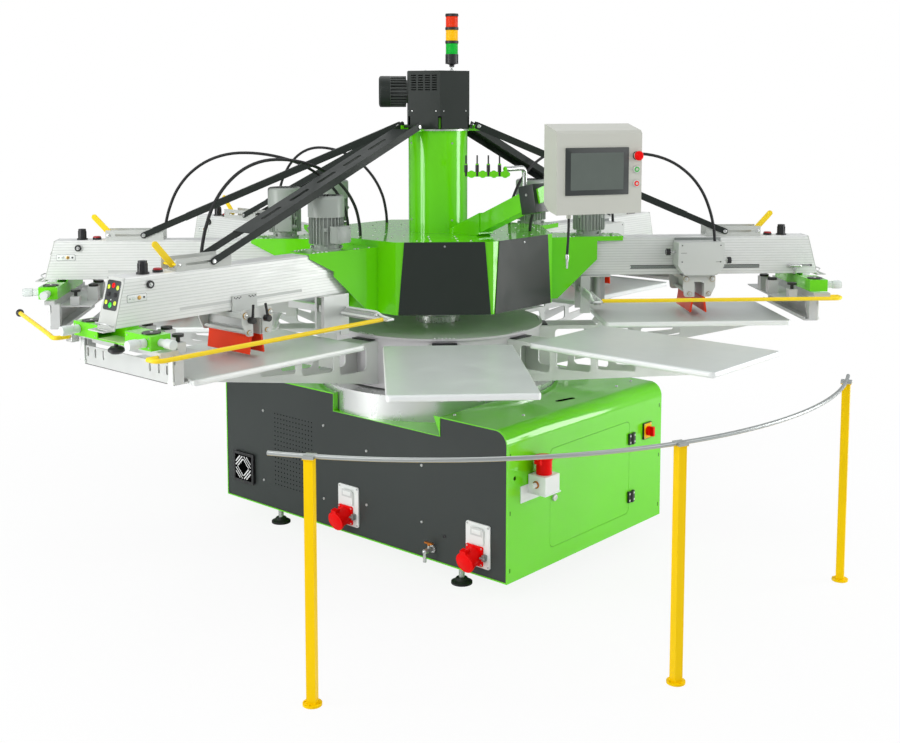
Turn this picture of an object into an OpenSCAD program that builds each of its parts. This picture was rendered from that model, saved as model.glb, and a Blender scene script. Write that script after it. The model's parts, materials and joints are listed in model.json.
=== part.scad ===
// Automatic carousel textile screen printing press: eight pallets on a turntable,
// six electric print heads round a central hub, standing on a floor cabinet.
// The carousel turns on the Z axis and the floor is at zero.
// The dark front panel of the cabinet faces -Y and its green door end faces +X.

/* [Cabinet] */
// Length of the cabinet along X
base_l = 1790; // [1700:10:1900]
// Width of the cabinet along Y
base_w = 1166; // [1160:2:1300]
// Height of the cabinet floor above the ground
base_z0 = 96; // [80:2:120]
// Height of the cabinet top above the ground
base_z1 = 733; // [720:1:740]
// Radius of the two long top edges
base_edge_r = 62; // [30:2:90]
// Sheet thickness of the cabinet shell
base_wall = 5; // [3:0.5:8]
// Height of the well floor that the pedestal stands on
well_floor_z = 651; // [640:1:670]
// Distance of the pedestal drum from the cabinet's long sides
drum_inset = 18; // [17:1:40]
// Left end of the front notch as a share of the drum's radius
notch_left_share = 0.2106; // [0.12:0.01:0.34]
// Right end of the front notch as a share of the drum's radius
notch_right_share = 0.9345; // [0.8:0.005:0.955]
// Diameter of a levelling foot
foot_d = 92; // [60:2:120]
// Distance of a foot from the cabinet side
foot_inset = 80; // [70:2:120]
// Distance between the feet along X
foot_span = 1170; // [1000:10:1300]

/* [Cabinet door] */
// Distance of the door from the cabinet's front side
door_inset_front = 291; // [263:2:343]
// Distance of the door from the cabinet's rear side
door_inset_rear = 271; // [263:2:303]
// Bottom of the door
door_z0 = 170; // [150:2:200]
// Top of the door
door_z1 = 602; // [560:2:620]
// Gap round the door
door_gap = 1.5; // [1:0.5:3]

/* [Carousel] */
// Radius of the central post
post_r = 85; // [70:1:90]
// Outer radius of the lifting sleeve on the post
sleeve_r = 103; // [98:1:120]
// Radius of the turntable disc
disc_r = 500; // [496:1:504]
// Height of the turntable's top face with the carousel down
disc_top_z = 1009; // [1008:1:1012]
// Number of pallets
pallet_count = 8; // [4:1:8]
// Width of a pallet
pallet_w = 550; // [400:10:560]
// Distance from the axis to a pallet's inner end
pallet_r0 = 761; // [750:1:800]
// Distance of a pallet's outer end from the head beams' outer end
pallet_end_inset = 143; // [138:1:288]
// Height of the pallets' top face with the carousel down
pallet_top_z = 1035; // [1034:1:1036]
// Thickness of a pallet with its rim
pallet_t = 25; // [20:1:25]
// Travel of the carousel lift
lift_travel = 8; // [4:1:9]

/* [Hub and column] */
// Distance from the axis to a flat of the octagonal hub
hub_apothem = 518; // [512:1:524]
// Bottom of the hub
hub_z0 = 1121; // [1115:1:1130]
// Top of the hub
hub_z1 = 1443; // [1430:1:1450]
// Radius of the column
column_r = 140; // [100:2:142]
// Top of the column
column_top_z = 1917; // [1900:1:1930]
// Radius of the top shroud across its corners
shroud_r = 165; // [160:1:168]
// Height of the top shroud
shroud_h = 270; // [240:5:320]
// Diameter of the signal tower
lamp_d = 60; // [50:1:70]
// Height of one lamp of the signal tower
lamp_h = 50; // [40:1:60]

/* [Print heads] */
// Width of a head beam
beam_w = 110; // [100:1:114]
// Bottom of a head beam
beam_z0 = 1226; // [1224:1:1230]
// Top of a head beam
beam_z1 = 1408; // [1400:1:1415]
// Distance from the axis to the outer end of a beam's top
beam_r1 = 1788; // [1770:1:1800]
// How much further the beam reaches at its bottom
beam_slant = 48; // [20:1:60]
// Distance of the slot's outer end from the beam's outer end
slot_end_inset = 240; // [228:1:248]
// Diameter of a head motor's cowl
motor_d = 159; // [130:1:170]
// Height of a head motor above its bracket
motor_h = 237; // [200:1:260]
// Distance from the axis to a head motor
motor_r = 727; // [720:1:740]
// Length of a blade
blade_l = 262; // [200:2:262]
// Gap left between blade and pallet with the carousel up and the squeegee down
blade_gap = 2; // [1:0.5:5]
// Travel of a squeegee towards the pallet
squeegee_travel = 8; // [2:0.5:8]
// Travel of a carriage to each side of its rest place
carriage_travel = 245; // [100:5:245]

/* [Control panel] */
// Width of the control panel box
panel_w = 392; // [340:2:420]
// Height of the control panel box
panel_h = 345; // [300:1:360]
// Depth of the control panel box
panel_d = 122; // [110:2:150]
// Direction that the control panel faces, from +X
panel_yaw = -28; // [-36:1:-20]

/* [Guard rail] */
// Radius of the guard rail round the axis
guard_r = 1888; // [1850:1:1950]
// Height of the guard rail
guard_h = 866; // [800:2:900]
// Side of a guard post
guard_post_w = 33; // [25:1:40]
// Diameter of the guard rail's tube
guard_tube_d = 16; // [12:1:25]

/* [Hidden] */
$fn = 48;
over = 2;
fit_gap = 0.3;
head_angles = [45, 90, 135, 180, 225, 270];

// Cabinet details
panel_sheet = 3;
panel_set_back = 3;
well_gap = 3;
well_wall = 3;
vent_hole_d = 7;
vent_inset = 363;
vent_z0 = 222;
vent_pitch = 21.6;
vent_columns = 13;
vent_x0 = vent_inset - base_l / 2;
vent_rows = 17;
foot_pad_h = 26;
foot_stem_d = 24;
foot_nut_d = 42;
foot_nut_h = 14;
base_x1 = base_l / 2;
base_y1 = base_w / 2;
foot_x = foot_span / 2;
foot_y = base_y1 - foot_inset;
drum_r = base_y1 - drum_inset;
notch_x0 = -drum_r * notch_left_share;
notch_x1 = drum_r * notch_right_share;
gusset_w = 34;
cable_hole_d = 18;
cable_hole_inset = 50;

// Door details
door_r = 24;
door_sheet = 3;
door_pan_t = 10;
door_pan_inset = 10;
door_lock_d = 28;
door_lock_h = 8;
door_lock_inset = 27;
hinge_w = 22;
hinge_h = 46;
hinge_t = 9;
hinge_pin_d = 8;
hinge_out = 12;
door_y0 = door_inset_front - base_y1;
door_y1 = base_y1 - door_inset_rear;
hinge_y = door_y1 + hinge_out;
hinge_x = base_x1 + hinge_t;
hinge_z_low = 246;
hinge_z_high = 518;
switch_inset = 129;
switch_y = base_y1 - switch_inset;
switch_z = 530;
switch_plate_w = 66;
switch_plate_h = 76;
switch_plate_t = 8;
switch_knob_d = 44;
switch_knob_h = 16;
switch_grip_w = 14;
switch_grip_h = 18;

// Inside the cabinet
gear_inset = 295;
gear_x = base_x1 - gear_inset;
gear_plate_t = 3;
gear_plate_margin = 42;
gear_plate_w = door_y1 - door_y0 - gear_plate_margin * 2;
gear_plate_h = 430;
drive_module = [110, 90, 210];
drive_gap = 24;
breaker_row = [60, 360, 90];
trunking = [50, 470, 36];
index_box = [240, 230, 190];
index_x = -330;
index_motor_d = 150;
index_motor_l = 300;
index_foot_h = 60;

// Front fittings
fan_inset = 138;
fan_x = fan_inset - base_x1;
fan_z = 260;
fan_w = 150;
fan_t = 12;
fan_frame = 14;
fan_slats = 7;
fan_slat_t = 5;
socket_plate = [130, 6, 186];
socket_mid_x = -25;
socket_inset = 152;
socket_xs = [socket_mid_x, base_x1 - socket_inset];
socket_z = 228;
socket_shift = -14;
socket_drop = 44;
socket_d = 78;
socket_l = 58;
socket_wall = 5;
socket_tilt = 14;
lid_t = 12;
lid_ear_d = 16;
lid_ear_w = 30;
breaker_lid = [70, 9, 62];
breaker_lid_up = 38;
side_socket_inset = 183;
side_socket_y = side_socket_inset - base_y1;
side_socket_z = 452;
side_box = [88, 96, 74];
side_bracket_t = 4;
side_bracket_l = 130;
side_bracket_h = 70;
side_socket_d = 66;
side_socket_h = 62;
tap_inset = 407;
tap_x = base_x1 - tap_inset;
tap_z = 150;
tap_d = 22;
tap_reach = 52;
tap_spout_l = 46;
tap_lever = [44, 12, 6];
tap_stem_h = 16;
tap_stem_d = 8;

// Pedestal and carousel details
drum_wall = 14;
post_wall = 25;
drum_z1 = 752;
flange_t = 12;
flange_over = 13;
flange_z1 = drum_z1 + flange_t;
sleeve_z1 = 1038;
boss_wall = 36;
boss_h = 48;
shoulder_t = 20;
disc_t = 10;
disc_over = 10;
table_r = disc_r - disc_over;
table_wall = 10;
table_clear = 6;
arm_half = 64;
arm_plate_t = 6;
arm_drop = 24;
arm_depth = 202;
arm_tip_inset = 145;
arm_joint = 20;
pallet_r1 = beam_r1 - pallet_end_inset;
arm_top_z = disc_top_z - arm_drop;
arm_root_z = arm_top_z - arm_depth;
arm_tip_r = pallet_r1 - arm_tip_inset;
arm_tip_h = 12;
arm_start_r = table_r - arm_joint;
arm_rib = 36;
arm_margin = 17;
arm_window_shares = [[0.085, 0.245], [0.28, 0.456], [0.49, 0.676]];
arm_window_r = 22;
arm_lip = 50;
pallet_corner_r = 22;
pallet_edge_r = 9;

// Hub and column details
hub_wall = 5;
panel_plate_t = 4;
hub_side_half = hub_apothem * tan(22.5);
hub_panel_margin = 10.6;
hub_panel_taper = 27;
hub_panel_half_low = hub_side_half - hub_panel_margin;
hub_panel_half_high = hub_panel_half_low - hub_panel_taper;
hub_panel_angles = [0, -45];
column_wall = 6;
cap_t = 9;
cap_over = 8;
cap_r = shroud_r * cos(30) + cap_over;
lug_r1 = 208;
lug_w = 84;
lug_h = 26;
shroud_wall = 4;
shroud_z0 = column_top_z + cap_t;
shroud_z1 = shroud_z0 + shroud_h;
shroud_turn = -45;
louvre_angle = -75;
louvre_rows = 7;
louvre_columns = 4;
louvre_pitch = 11;
louvre_l = 26;
louvre_h = 5;
louvre_top = 22;
slot_cut_h = 60;
slot_cut_w = 16;
top_motor_d = 145;
top_motor_l = 128;
top_motor_drop = 96;
top_motor_angle = 225;
top_motor_cowl_l = 46;
tower_x = 49;
tower_y = 44;
tower_pole_d = 16;
tower_pole_h = 34;
tower_base_h = 45;
tower_ring_h = 13;
tower_core_d = 22;

// Head bracket and beam details
bracket_t = 6;
bracket_half = 108;
bracket_reach = 367;
bracket_step_reach = 239;
bracket_low_reach = 44;
bracket_r1 = hub_apothem + bracket_reach;
bracket_step_r = hub_apothem + bracket_step_reach;
bracket_low_r = hub_apothem + bracket_low_reach;
bracket_lip = 22;
bracket_top_z = beam_z1 + bracket_t;
bracket_side_r0 = hub_apothem + bracket_t;
bracket_tip_half = beam_w / 2 + bracket_t + fit_gap * 2;
beam_r0 = bracket_side_r0 + fit_gap;
beam_wall = 6;
beam_chamfer = 7;
groove_count = 9;
groove_h = 3;
groove_depth = 1.5;
groove_up = 62;
groove_z0 = beam_z0 + groove_up;
groove_pitch = 12.5;
bridge_half = 50;
slot_margin = 17;
slot_half = carriage_travel + bridge_half + slot_margin;
slot_r1 = beam_r1 - slot_end_inset;
slot_r0 = slot_r1 - slot_half * 2;
guide_slot_up = 37;
guide_slot_z = beam_z0 + guide_slot_up;
guide_slot_h = 12;
end_plate_t = 4;
end_plate_drop = 10;
end_foot_l = 46;
end_foot_w = 100;
tie_bracket_inset = 232;
tie_bracket_l = 266;
tie_bracket_r1 = beam_r1 - tie_bracket_inset;
tie_bracket_r0 = tie_bracket_r1 - tie_bracket_l;
tie_bracket_w = 100;
tie_bracket_h = 48;
tie_bracket_t = 4;
tie_slot_margin = 72;
tie_slot_end = 50;
tie_pin_up = 24;
tie_pin_out = 18;
tie_slot_r0 = tie_bracket_r0 + tie_slot_margin;
tie_slot_r1 = tie_bracket_r1 - tie_slot_end;
tie_pin_r = tie_slot_r0 + tie_pin_out;
tie_pin_d = 10;
tie_pin_z = beam_z1 + tie_pin_up;
tie_bar_w = 112;
tie_bar_t = 4;
tie_bar_h = 32;
tie_top_r = 190;
tie_top_up = 12;
tie_top_z = column_top_z + cap_t + tie_top_up;
tie_fork_l = 210;
tie_slot_count = 5;
tie_slot_l = 92;
tie_slot_w = 22;
lever_l = 110;
lever_w = 26;
lever_t = 6;
lever_tilt = 48;
lever_shaft_d = 10;
lever_inset = 14;
lever_r = tie_bracket_r1 - lever_inset;
motor_flange_d = 130;
motor_flange_h = 8;
motor_neck_d = 112;
motor_neck_h = 20;
motor_cowl_h = 92;
motor_core_d = 128;
motor_fin_count = 28;
motor_fin_t = 3;
motor_edge_r = 10;
terminal_box = [78, 46, 72];
knob_base_d = 50;
knob_base_h = 6;
knob_d = 37;
knob_h = 50;
knob_inset = 114;
knob_r = beam_r1 - knob_inset;
side_lock_d = 30;
side_lock_h = 8;
side_lock_inset = 106;
side_lock_r = beam_r1 - side_lock_inset;
side_lock_down = 34;
side_lock_z = beam_z1 - side_lock_down;
stop_inset = 182;
stop_r = beam_r1 - stop_inset;
stop_d = 36;
stop_h = 14;

// Screen frame holder and clamp details
holder_inset = 53;
holder_depth = 85;
holder_r0 = beam_r1 - holder_inset;
holder_r1 = holder_r0 + holder_depth;
holder_half = 250;
holder_z0 = 1165;
holder_z1 = 1220;
holder_t = 4;
holder_block_y = 90;
holder_disc_d = 70;
holder_disc_h = 4;
holder_disc_y = 194;
holder_disc_r = (holder_r0 + holder_r1) / 2;
reg_neck_d = 28;
reg_neck_l = 34;
reg_head_d = 36;
reg_head_l = 42;
reg_y = 215;
star_d = 62;
star_h = 26;
star_stem_d = 16;
star_stem_h = 10;
star_r = holder_r1 - over;
star_y = 30;
rail_half = 300;
rail_w = 45;
rail_h = 18;
post_w = 36;
clamp_z0 = 1038;
clamp_reach = 43;
clamp_r0 = holder_r0 - clamp_reach;
clamp_lip = 5;
clamp_front_h = 74;
clamp_front_in = 17;
clamp_front_r = holder_r0 + clamp_front_in;
clamp_slots = [-255, -205, -150, 150, 205, 255];
clamp_slot_h = 24;
clamp_slot_w = 12;
shelf_reach = 147;
shelf_r0 = holder_r0 - shelf_reach;
shelf_z0 = 1126;
shelf_t = 6;
shelf_half = 232;
piston = [48, 48, 64];
piston_reach = 119;
piston_r = holder_r0 - piston_reach;
piston_y = 62;
screw_reach = 69;
screw_r = holder_r0 - screw_reach;
screw_y = 200;
screw_box = [40, 44, 40];
clamp_knob_d = 44;
clamp_knob_h = 10;
inner_r = 700;
inner_bar = [26, 540, 30];
inner_bar_z = 1130;
inner_post = [46, 12];
inner_post_y = 84;
inner_post_gap = 3;
inner_post_z0 = pallet_top_z + lift_travel + inner_post_gap;
inner_plate_l = 124;
inner_plate_z0 = 1064;
inner_plate_t = 6;
inner_cyl_d = 36;
bar_d = 18;
bar_y = 340;
bar_out = 38;
bar_r1 = holder_r1 + bar_out;
bar_bend_r = 34;
bar_z = 1146;
bar_loop_w = 9;

// Carriage and squeegee details
carriage_r = slot_r1 - slot_half;
blade_tip_z = pallet_top_z + lift_travel + squeegee_travel + blade_gap;
bridge_t = 8;
cheek_gap = 3;
cheek_t = 6;
cheek_y = beam_w / 2 + cheek_gap;
cheek_half = 62;
cross_gap = 6;
cross_z1 = beam_z0 - cross_gap;
cross_h = 20;
cross_half = 66;
side_half = 78;
side_tip = 52;
side_gap = 4;
side_y = blade_l / 2 + side_gap;
side_t = 6;
side_z0 = 1128;
side_z1 = 1236;
side_window_half = 24;
side_window_z1 = cross_z1 - cross_h;
rod_d = 14;
bush_d = 23;
bush_l = 7;
rod_high_x = 63;
rod_high_z = 1214;
rod_low_x = 46;
rod_low_z = 1144;
cover_half = 110;
cover_low_half = 80;
cover_z1 = 1392;
cover_z0 = 1236;
cover_mid_z = 1280;
cover_y0 = cheek_y + cheek_t;
cover_y1 = 172;
cover_edge_r = 7;
cover_skin = 3;
adjust_d = 28;
adjust_l = 22;
adjust_stem_d = 8;
adjust_stem_l = 26;
adjust_high_z = 1342;
adjust_low_z = 1300;
adjust_y = 118;
clip_d = 22;
clip_l = 26;
clip_arm_l = 62;
clip_arm_d = 9;
clip_x = 40;
clip_lean_left = 12;
clip_lean_right = -4;
holder_x = 26;
holder_w = 14;
holder_top_z = 1190;
holder_low_z = 1122;
blade_t = 9;
blade_lean = 11;
blade_hold = 12;
pin_d = 10;
pin_y = 92;
pin_gap = 4;
pin_top_z = beam_z0 - pin_gap;

// Control panel details
panel_at = [1030, -150, 1764];
panel_skin = 3;
panel_brow = 26;
panel_brow_front = 12;
panel_cut_back = 39;
panel_cut_mid = 14;
bezel_w = 296;
bezel_h = 200;
bezel_t = 4;
bezel_shift = [-14, 5];
button_y = 170;
button_stop_z = 67;
button_start_z = 10;
button_reset_z = -49;
stop_base_d = 30;
stop_base_h = 12;
stop_head_d = 40;
stop_head_h = 16;
button_d = 22;
button_h = 8;
button_travel = 4;
button_well = 10;
pivot_back = 40;
pivot_d = 30;
pivot_ear = [64, 62, 12];
pivot_ear_zs = [-96, 24];
lead_d = 11;
lead_sides = 8;
lead_gland_d = 20;
lead_tip_l = 58;
lead_tip_d = 16;
lead_y = -120;
lead_z0 = -190;
cable_gland_d = 26;

// The panel's lead in the panel's own frame: it hangs straight and sways a little sideways
lead_step = 30;
lead_sway = 6;
lead_sway_shares = [0, 0, 0.17, 0.33, 0.67, 1];
lead_points = [
    for (i = [0:len(lead_sway_shares) - 1])
        [-panel_d / 3, lead_y - lead_sway * lead_sway_shares[i], lead_z0 - i * lead_step]
];

// Arm of the control panel
arm_angle = -8;
arm_w = 74;
arm_h = 78;
arm_rise_angle = 23;
arm_end_r = 625;
arm_end_z = 1622;
arm_cover_r = 340;
arm_cover_t = 6;
joint_r = 652;
joint_z = 1630;
joint_box = [88, 86, 122];
joint_lean_angle = 12;
link_w = 62;
link_h = 64;
tube_d = 22;
tube_r = 612;
tube_off = -20;
tube_z = 1766;
tube_reach = 137;
tube_bend_r = 24;
strip_l = 190;
strip_h = 32;
strip_t = 12;
strip_back = 22;
strip_angle = 222;
strip_z = 1744;
driver_count = 4;
driver_pitch = 48;
driver_grip_d = 14;
driver_grip_l = 55;
driver_low = 10;
driver_d = 6;
driver_l = 36;

// Guard rail details
guard_angles = [-61.4, -21.6, 18.4];
guard_from_angle = -66;
guard_to_angle = 22;
guard_flange_d = 68;
guard_flange_t = 8;
guard_bolt_pcd = 50;
guard_bolt_d = 7;
guard_clamp = [44, 40, 14];

// Air hose loops in the head's own frame, as shares of their reach, sideways drift and rise
hose_d = 14;
hose_sides = 8;
hose_r0 = 430;
hose_end_in = 77;
hose_r1 = carriage_r + hose_end_in;
hose_y0 = -92;
hose_drift = 27;
hose_rise = 363;
hose_shares = [
    [0, 0, 0], [0.007, 0, 0.157], [0.036, 0.04, 0.377], [0.102, 0.11, 0.598],
    [0.204, 0.22, 0.791], [0.328, 0.3, 0.923], [0.476, 0.41, 0.997], [0.623, 0.52, 1],
    [0.747, 0.63, 0.915], [0.849, 0.74, 0.749], [0.923, 0.85, 0.529], [0.968, 0.93, 0.281],
    [0.992, 0.96, 0.047]
];
hose_points = concat(
    [for (p = hose_shares)
        [hose_r0 + (hose_r1 - hose_r0) * p[0], hose_y0 - hose_drift * p[1], hub_z1 + hose_rise * p[2]]],
    [[hose_r1, hose_y0 - hose_drift, cover_z1]]
);

// Helpers

function unit(v) = v / norm(v);
function outward(a, b) = let (d = unit(b - a)) [d[1], -d[0]];

// Round-cornered outline: the corner centres in anticlockwise order, and the corner radius
module rounded(centres, r) {
    n = len(centres);
    polygon([
        for (i = [0:n - 1])
            let (a = centres[i], b = centres[(i + 1) % n], o = outward(a, b))
                each [a + r * o, b + r * o]
    ]);
    for (c = centres) translate(c) circle(r = r);
}

module rounded_box2d(w, h, r) {
    x = w / 2 - r;
    y = h / 2 - r;
    rounded([[-x, -y], [x, -y], [x, y], [-x, y]], r);
}

// A flat outline in X and Z, as a plate from y0 to y1
module sheet_xz(y0, y1) {
    translate([0, y1, 0]) rotate([90, 0, 0]) linear_extrude(height = y1 - y0) children();
}

// A flat outline in Y and Z, as a plate from x0 to x1
module sheet_yz(x0, x1) {
    translate([x0, 0, 0]) rotate([90, 0, 90]) linear_extrude(height = x1 - x0) children();
}

// A round bar along Y from y0 to y1
module bar_y(x, z, d, y0, y1) {
    translate([x, y1, z]) rotate([90, 0, 0]) cylinder(h = y1 - y0, d = d);
}

// A round bar along X from x0 to x1
module bar_x(y, z, d, x0, x1) {
    translate([x0, y, z]) rotate([0, 90, 0]) cylinder(h = x1 - x0, d = d);
}

// A block given by its lowest and highest corners
module block(low, high) {
    translate(low) cube(high - low);
}

module each_head() {
    for (a = head_angles) rotate([0, 0, a]) children();
}

module mirrored_y() {
    children();
    mirror([0, 1, 0]) children();
}

// Cabinet

module base_outline(inset) {
    x = base_x1 - inset;
    r = base_edge_r - inset;
    low = base_z0 + inset;
    high = base_z1 - inset;
    translate([-x, low]) square([x * 2, high - low - r]);
    translate([r - x, low]) square([(x - r) * 2, high - low]);
    for (s = [-1, 1]) translate([s * (x - r), high - r]) circle(r = r);
}

module door_outline(grow) {
    r = door_r;
    rounded([
        [door_y0 + r - grow, door_z0 + r - grow], [door_y1 - r + grow, door_z0 + r - grow],
        [door_y1 - r + grow, door_z1 - r + grow], [door_y0 + r - grow, door_z1 - r + grow]
    ], r);
}

well_r = drum_r + well_gap;
notch_y1 = -sqrt(well_r * well_r - notch_x1 * notch_x1);
notch_y0 = -sqrt(well_r * well_r - notch_x0 * notch_x0);

module base_shell() {
    color("limegreen") difference() {
        union() {
            difference() {
                sheet_xz(-base_y1, base_y1) base_outline(0);
                sheet_xz(-base_y1 - over, base_y1 + over) base_outline(base_wall);
                translate([0, 0, well_floor_z]) cylinder(h = base_z1, r = well_r);
                block([notch_x0, -base_y1 - over, well_floor_z], [notch_x1, notch_y1, base_z1 + over]);
                sheet_yz(base_x1 - base_wall - over, base_x1 + over) door_outline(0);
            }
            well();
        }
        translate([0, 0, base_z0 + base_wall]) cylinder(h = base_z1, r = post_r + fit_gap);
        bar_x(cable_hole_inset - base_y1, switch_z, cable_hole_d, base_x1 - base_wall - over, base_x1 + over);
    }
}

// The sunk seat of the pedestal, open to the front through the notch
module well() {
    low = well_floor_z - well_wall;
    difference() {
        translate([0, 0, low]) cylinder(h = base_z1 - base_wall / 2 - low, r = well_r + well_wall);
        translate([0, 0, well_floor_z]) cylinder(h = base_z1, r = well_r);
        block([notch_x0, -base_y1 - over, well_floor_z], [notch_x1, notch_y1, base_z1 + over]);
    }
    block([notch_x0 - well_wall, -base_y1, low],
          [notch_x1 + well_wall, notch_y1 + well_wall, well_floor_z]);
    block([notch_x0 - well_wall, -base_y1, low], [notch_x0, notch_y0 - well_wall / 2, base_z1]);
    block([notch_x1, -base_y1, low], [notch_x1 + well_wall, notch_y1 - well_wall, base_z1]);
    sheet_xz(-base_y1, well_wall - base_y1) polygon([
        [notch_x1, base_z1], [notch_x1 - gusset_w, base_z1], [notch_x1, base_z1 - gusset_w * 2]
    ]);
}

module dark_panels() {
    color("dimgray") {
        difference() {
            sheet_xz(panel_set_back - base_y1, panel_set_back + panel_sheet - base_y1)
                base_outline(base_wall + fit_gap);
            block([notch_x0 - well_wall - fit_gap, -base_y1, well_floor_z - well_wall - fit_gap],
                  [notch_x1 + well_wall + fit_gap, 0, base_z1 + over]);
            for (i = [0:vent_columns - 1], j = [0:vent_rows - 1])
                bar_y(vent_x0 + i * vent_pitch, vent_z0 + j * vent_pitch, vent_hole_d, -base_y1, 0);
        }
        sheet_xz(base_y1 - panel_set_back - panel_sheet, base_y1 - panel_set_back)
            base_outline(base_wall + fit_gap);
        for (a = hub_panel_angles) rotate([0, 0, a]) sheet_yz(hub_apothem, hub_apothem + panel_plate_t)
            polygon([
                [-hub_panel_half_low, hub_z0], [hub_panel_half_low, hub_z0],
                [hub_panel_half_high, hub_z1], [-hub_panel_half_high, hub_z1]
            ]);
    }
}

module levelling_feet() {
    color("black") for (x = [-foot_x, foot_x], y = [-foot_y, foot_y]) translate([x, y, 0]) {
        rotate_extrude() polygon([
            [0, 0], [foot_d / 2, 0], [foot_d / 2, foot_pad_h / 3], [foot_d / 3, foot_pad_h * 2 / 3],
            [foot_stem_d, foot_pad_h], [0, foot_pad_h]
        ]);
        cylinder(h = base_z0, d = foot_stem_d);
        translate([0, 0, base_z0 - foot_nut_h]) cylinder(h = foot_nut_h, d = foot_nut_d, $fn = 6);
    }
}

module cabinet_door() {
    color("limegreen") {
        sheet_yz(base_x1 - door_sheet, base_x1) door_outline(-door_gap);
        sheet_yz(base_x1 - door_sheet - door_pan_t, base_x1 - door_sheet) difference() {
            door_outline(-door_pan_inset);
            door_outline(-door_pan_inset - door_sheet);
        }
        bar_x(door_y0 + door_lock_inset, (door_z0 + door_z1) / 2, door_lock_d,
              base_x1 - over, base_x1 + door_lock_h);
        for (z = [hinge_z_low, hinge_z_high])
            block([base_x1, hinge_y - hinge_w, z - hinge_h / 2],
                  [base_x1 + hinge_t * 2 / 3, hinge_y - hinge_t - fit_gap, z + hinge_h / 2]);
        for (z = [hinge_z_low, hinge_z_high]) difference() {
            hinge_knuckle(z, 0);
            translate([hinge_x, hinge_y, z - hinge_h])
                cylinder(h = hinge_h * 2, d = hinge_pin_d + fit_gap * 2);
        }
    }
}

// One half of a hinge knuckle, upper for the door and lower for the cabinet
module hinge_knuckle(z, side) {
    low = side == 0 ? z + fit_gap : z - hinge_h / 2;
    high = side == 0 ? z + hinge_h / 2 : z - fit_gap;
    reach = side == 0 ? -hinge_w : hinge_w;
    translate([hinge_x, hinge_y, low]) cylinder(h = high - low, d = hinge_t * 2 - over / 2);
    translate([base_x1 + hinge_t / 3, min(hinge_y, hinge_y + reach / 2), low])
        cube([hinge_t / 3, hinge_w / 2, high - low]);
}

module end_fittings() {
    color("black") {
        for (z = [hinge_z_low, hinge_z_high]) {
            hinge_knuckle(z, 1);
            block([base_x1, hinge_y + hinge_t + fit_gap, z - hinge_h / 2],
                  [base_x1 + hinge_t * 2 / 3, hinge_y + hinge_w, z + hinge_h / 2]);
            translate([hinge_x, hinge_y, z - hinge_h / 2]) cylinder(h = hinge_h, d = hinge_pin_d);
        }
        sheet_yz(base_x1, base_x1 + switch_plate_t) translate([switch_y, switch_z])
            rounded_box2d(switch_plate_w, switch_plate_h, door_sheet);
    }
}

module switch_knob() {
    color("red") translate([base_x1 + switch_plate_t + fit_gap, switch_y, switch_z]) {
        rotate([0, 90, 0]) cylinder(h = switch_knob_h, d = switch_knob_d);
        translate([switch_knob_h, -switch_grip_w / 2, -switch_knob_d / 2])
            cube([switch_grip_h, switch_grip_w, switch_knob_d]);
    }
}

module control_gear() {
    floor_z = base_z0 + base_wall;
    mid_y = (door_y0 + door_y1) / 2;
    front_x = gear_x + gear_plate_t;
    color("lightgray") {
        block([gear_x, mid_y - gear_plate_w / 2, floor_z],
              [front_x, mid_y + gear_plate_w / 2, door_z0 + gear_plate_h]);
        for (i = [0:2]) {
            y0 = mid_y - gear_plate_w / 2 + drive_gap + i * (drive_module[1] + drive_gap);
            block([front_x, y0, door_z1 - drive_gap - drive_module[2]],
                  [front_x + drive_module[0], y0 + drive_module[1], door_z1 - drive_gap]);
        }
        block([front_x, mid_y - breaker_row[1] / 2, door_z0 + drive_gap],
              [front_x + breaker_row[0], mid_y + breaker_row[1] / 2, door_z0 + drive_gap + breaker_row[2]]);
        block([front_x, mid_y - trunking[1] / 2, door_z0 + drive_gap * 2 + breaker_row[2]],
              [front_x + trunking[0], mid_y + trunking[1] / 2,
               door_z0 + drive_gap * 2 + breaker_row[2] + trunking[2]]);
    }
}

module index_drive() {
    floor_z = base_z0 + base_wall;
    mid_z = floor_z + index_foot_h + index_box[2] / 2;
    color("slategray") translate([index_x, 0, 0]) {
        block([-index_box[0] / 2, -index_box[1] / 2, floor_z + index_foot_h],
              [index_box[0] / 2, index_box[1] / 2, floor_z + index_foot_h + index_box[2]]);
        for (x = [-1, 1])
            block([x * index_box[0] / 3 - index_foot_h / 3, -index_box[1] / 2, floor_z],
                  [x * index_box[0] / 3 + index_foot_h / 3, index_box[1] / 2, floor_z + index_foot_h + over]);
        bar_x(0, mid_z, index_motor_d, -index_box[0] / 2 - index_motor_l, over - index_box[0] / 2);
        translate([0, 0, floor_z + index_foot_h + index_box[2] - over])
            cylinder(h = index_foot_h, d = index_motor_d);
    }
}

// Fittings on the front panel and the door end

panel_face_y = panel_set_back - base_y1;

module fan_grille() {
    color("black") translate([fan_x, panel_face_y, fan_z]) {
        sheet_xz(-fan_t, 0) difference() {
            rounded_box2d(fan_w, fan_w, fan_frame);
            rounded_box2d(fan_w - fan_frame * 2, fan_w - fan_frame * 2, fan_frame / 2);
        }
        for (i = [0:fan_slats - 1])
            translate([0, -fan_t / 2, (i - (fan_slats - 1) / 2) * (fan_w - fan_frame * 2) / fan_slats])
                cube([fan_w - fan_frame * 2 + over, fan_t - over * 2, fan_slat_t], center = true);
        sheet_xz(-fan_t / 3, 0) rounded_box2d(fan_w - fan_frame, fan_w - fan_frame, fan_frame / 2);
    }
}

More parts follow.
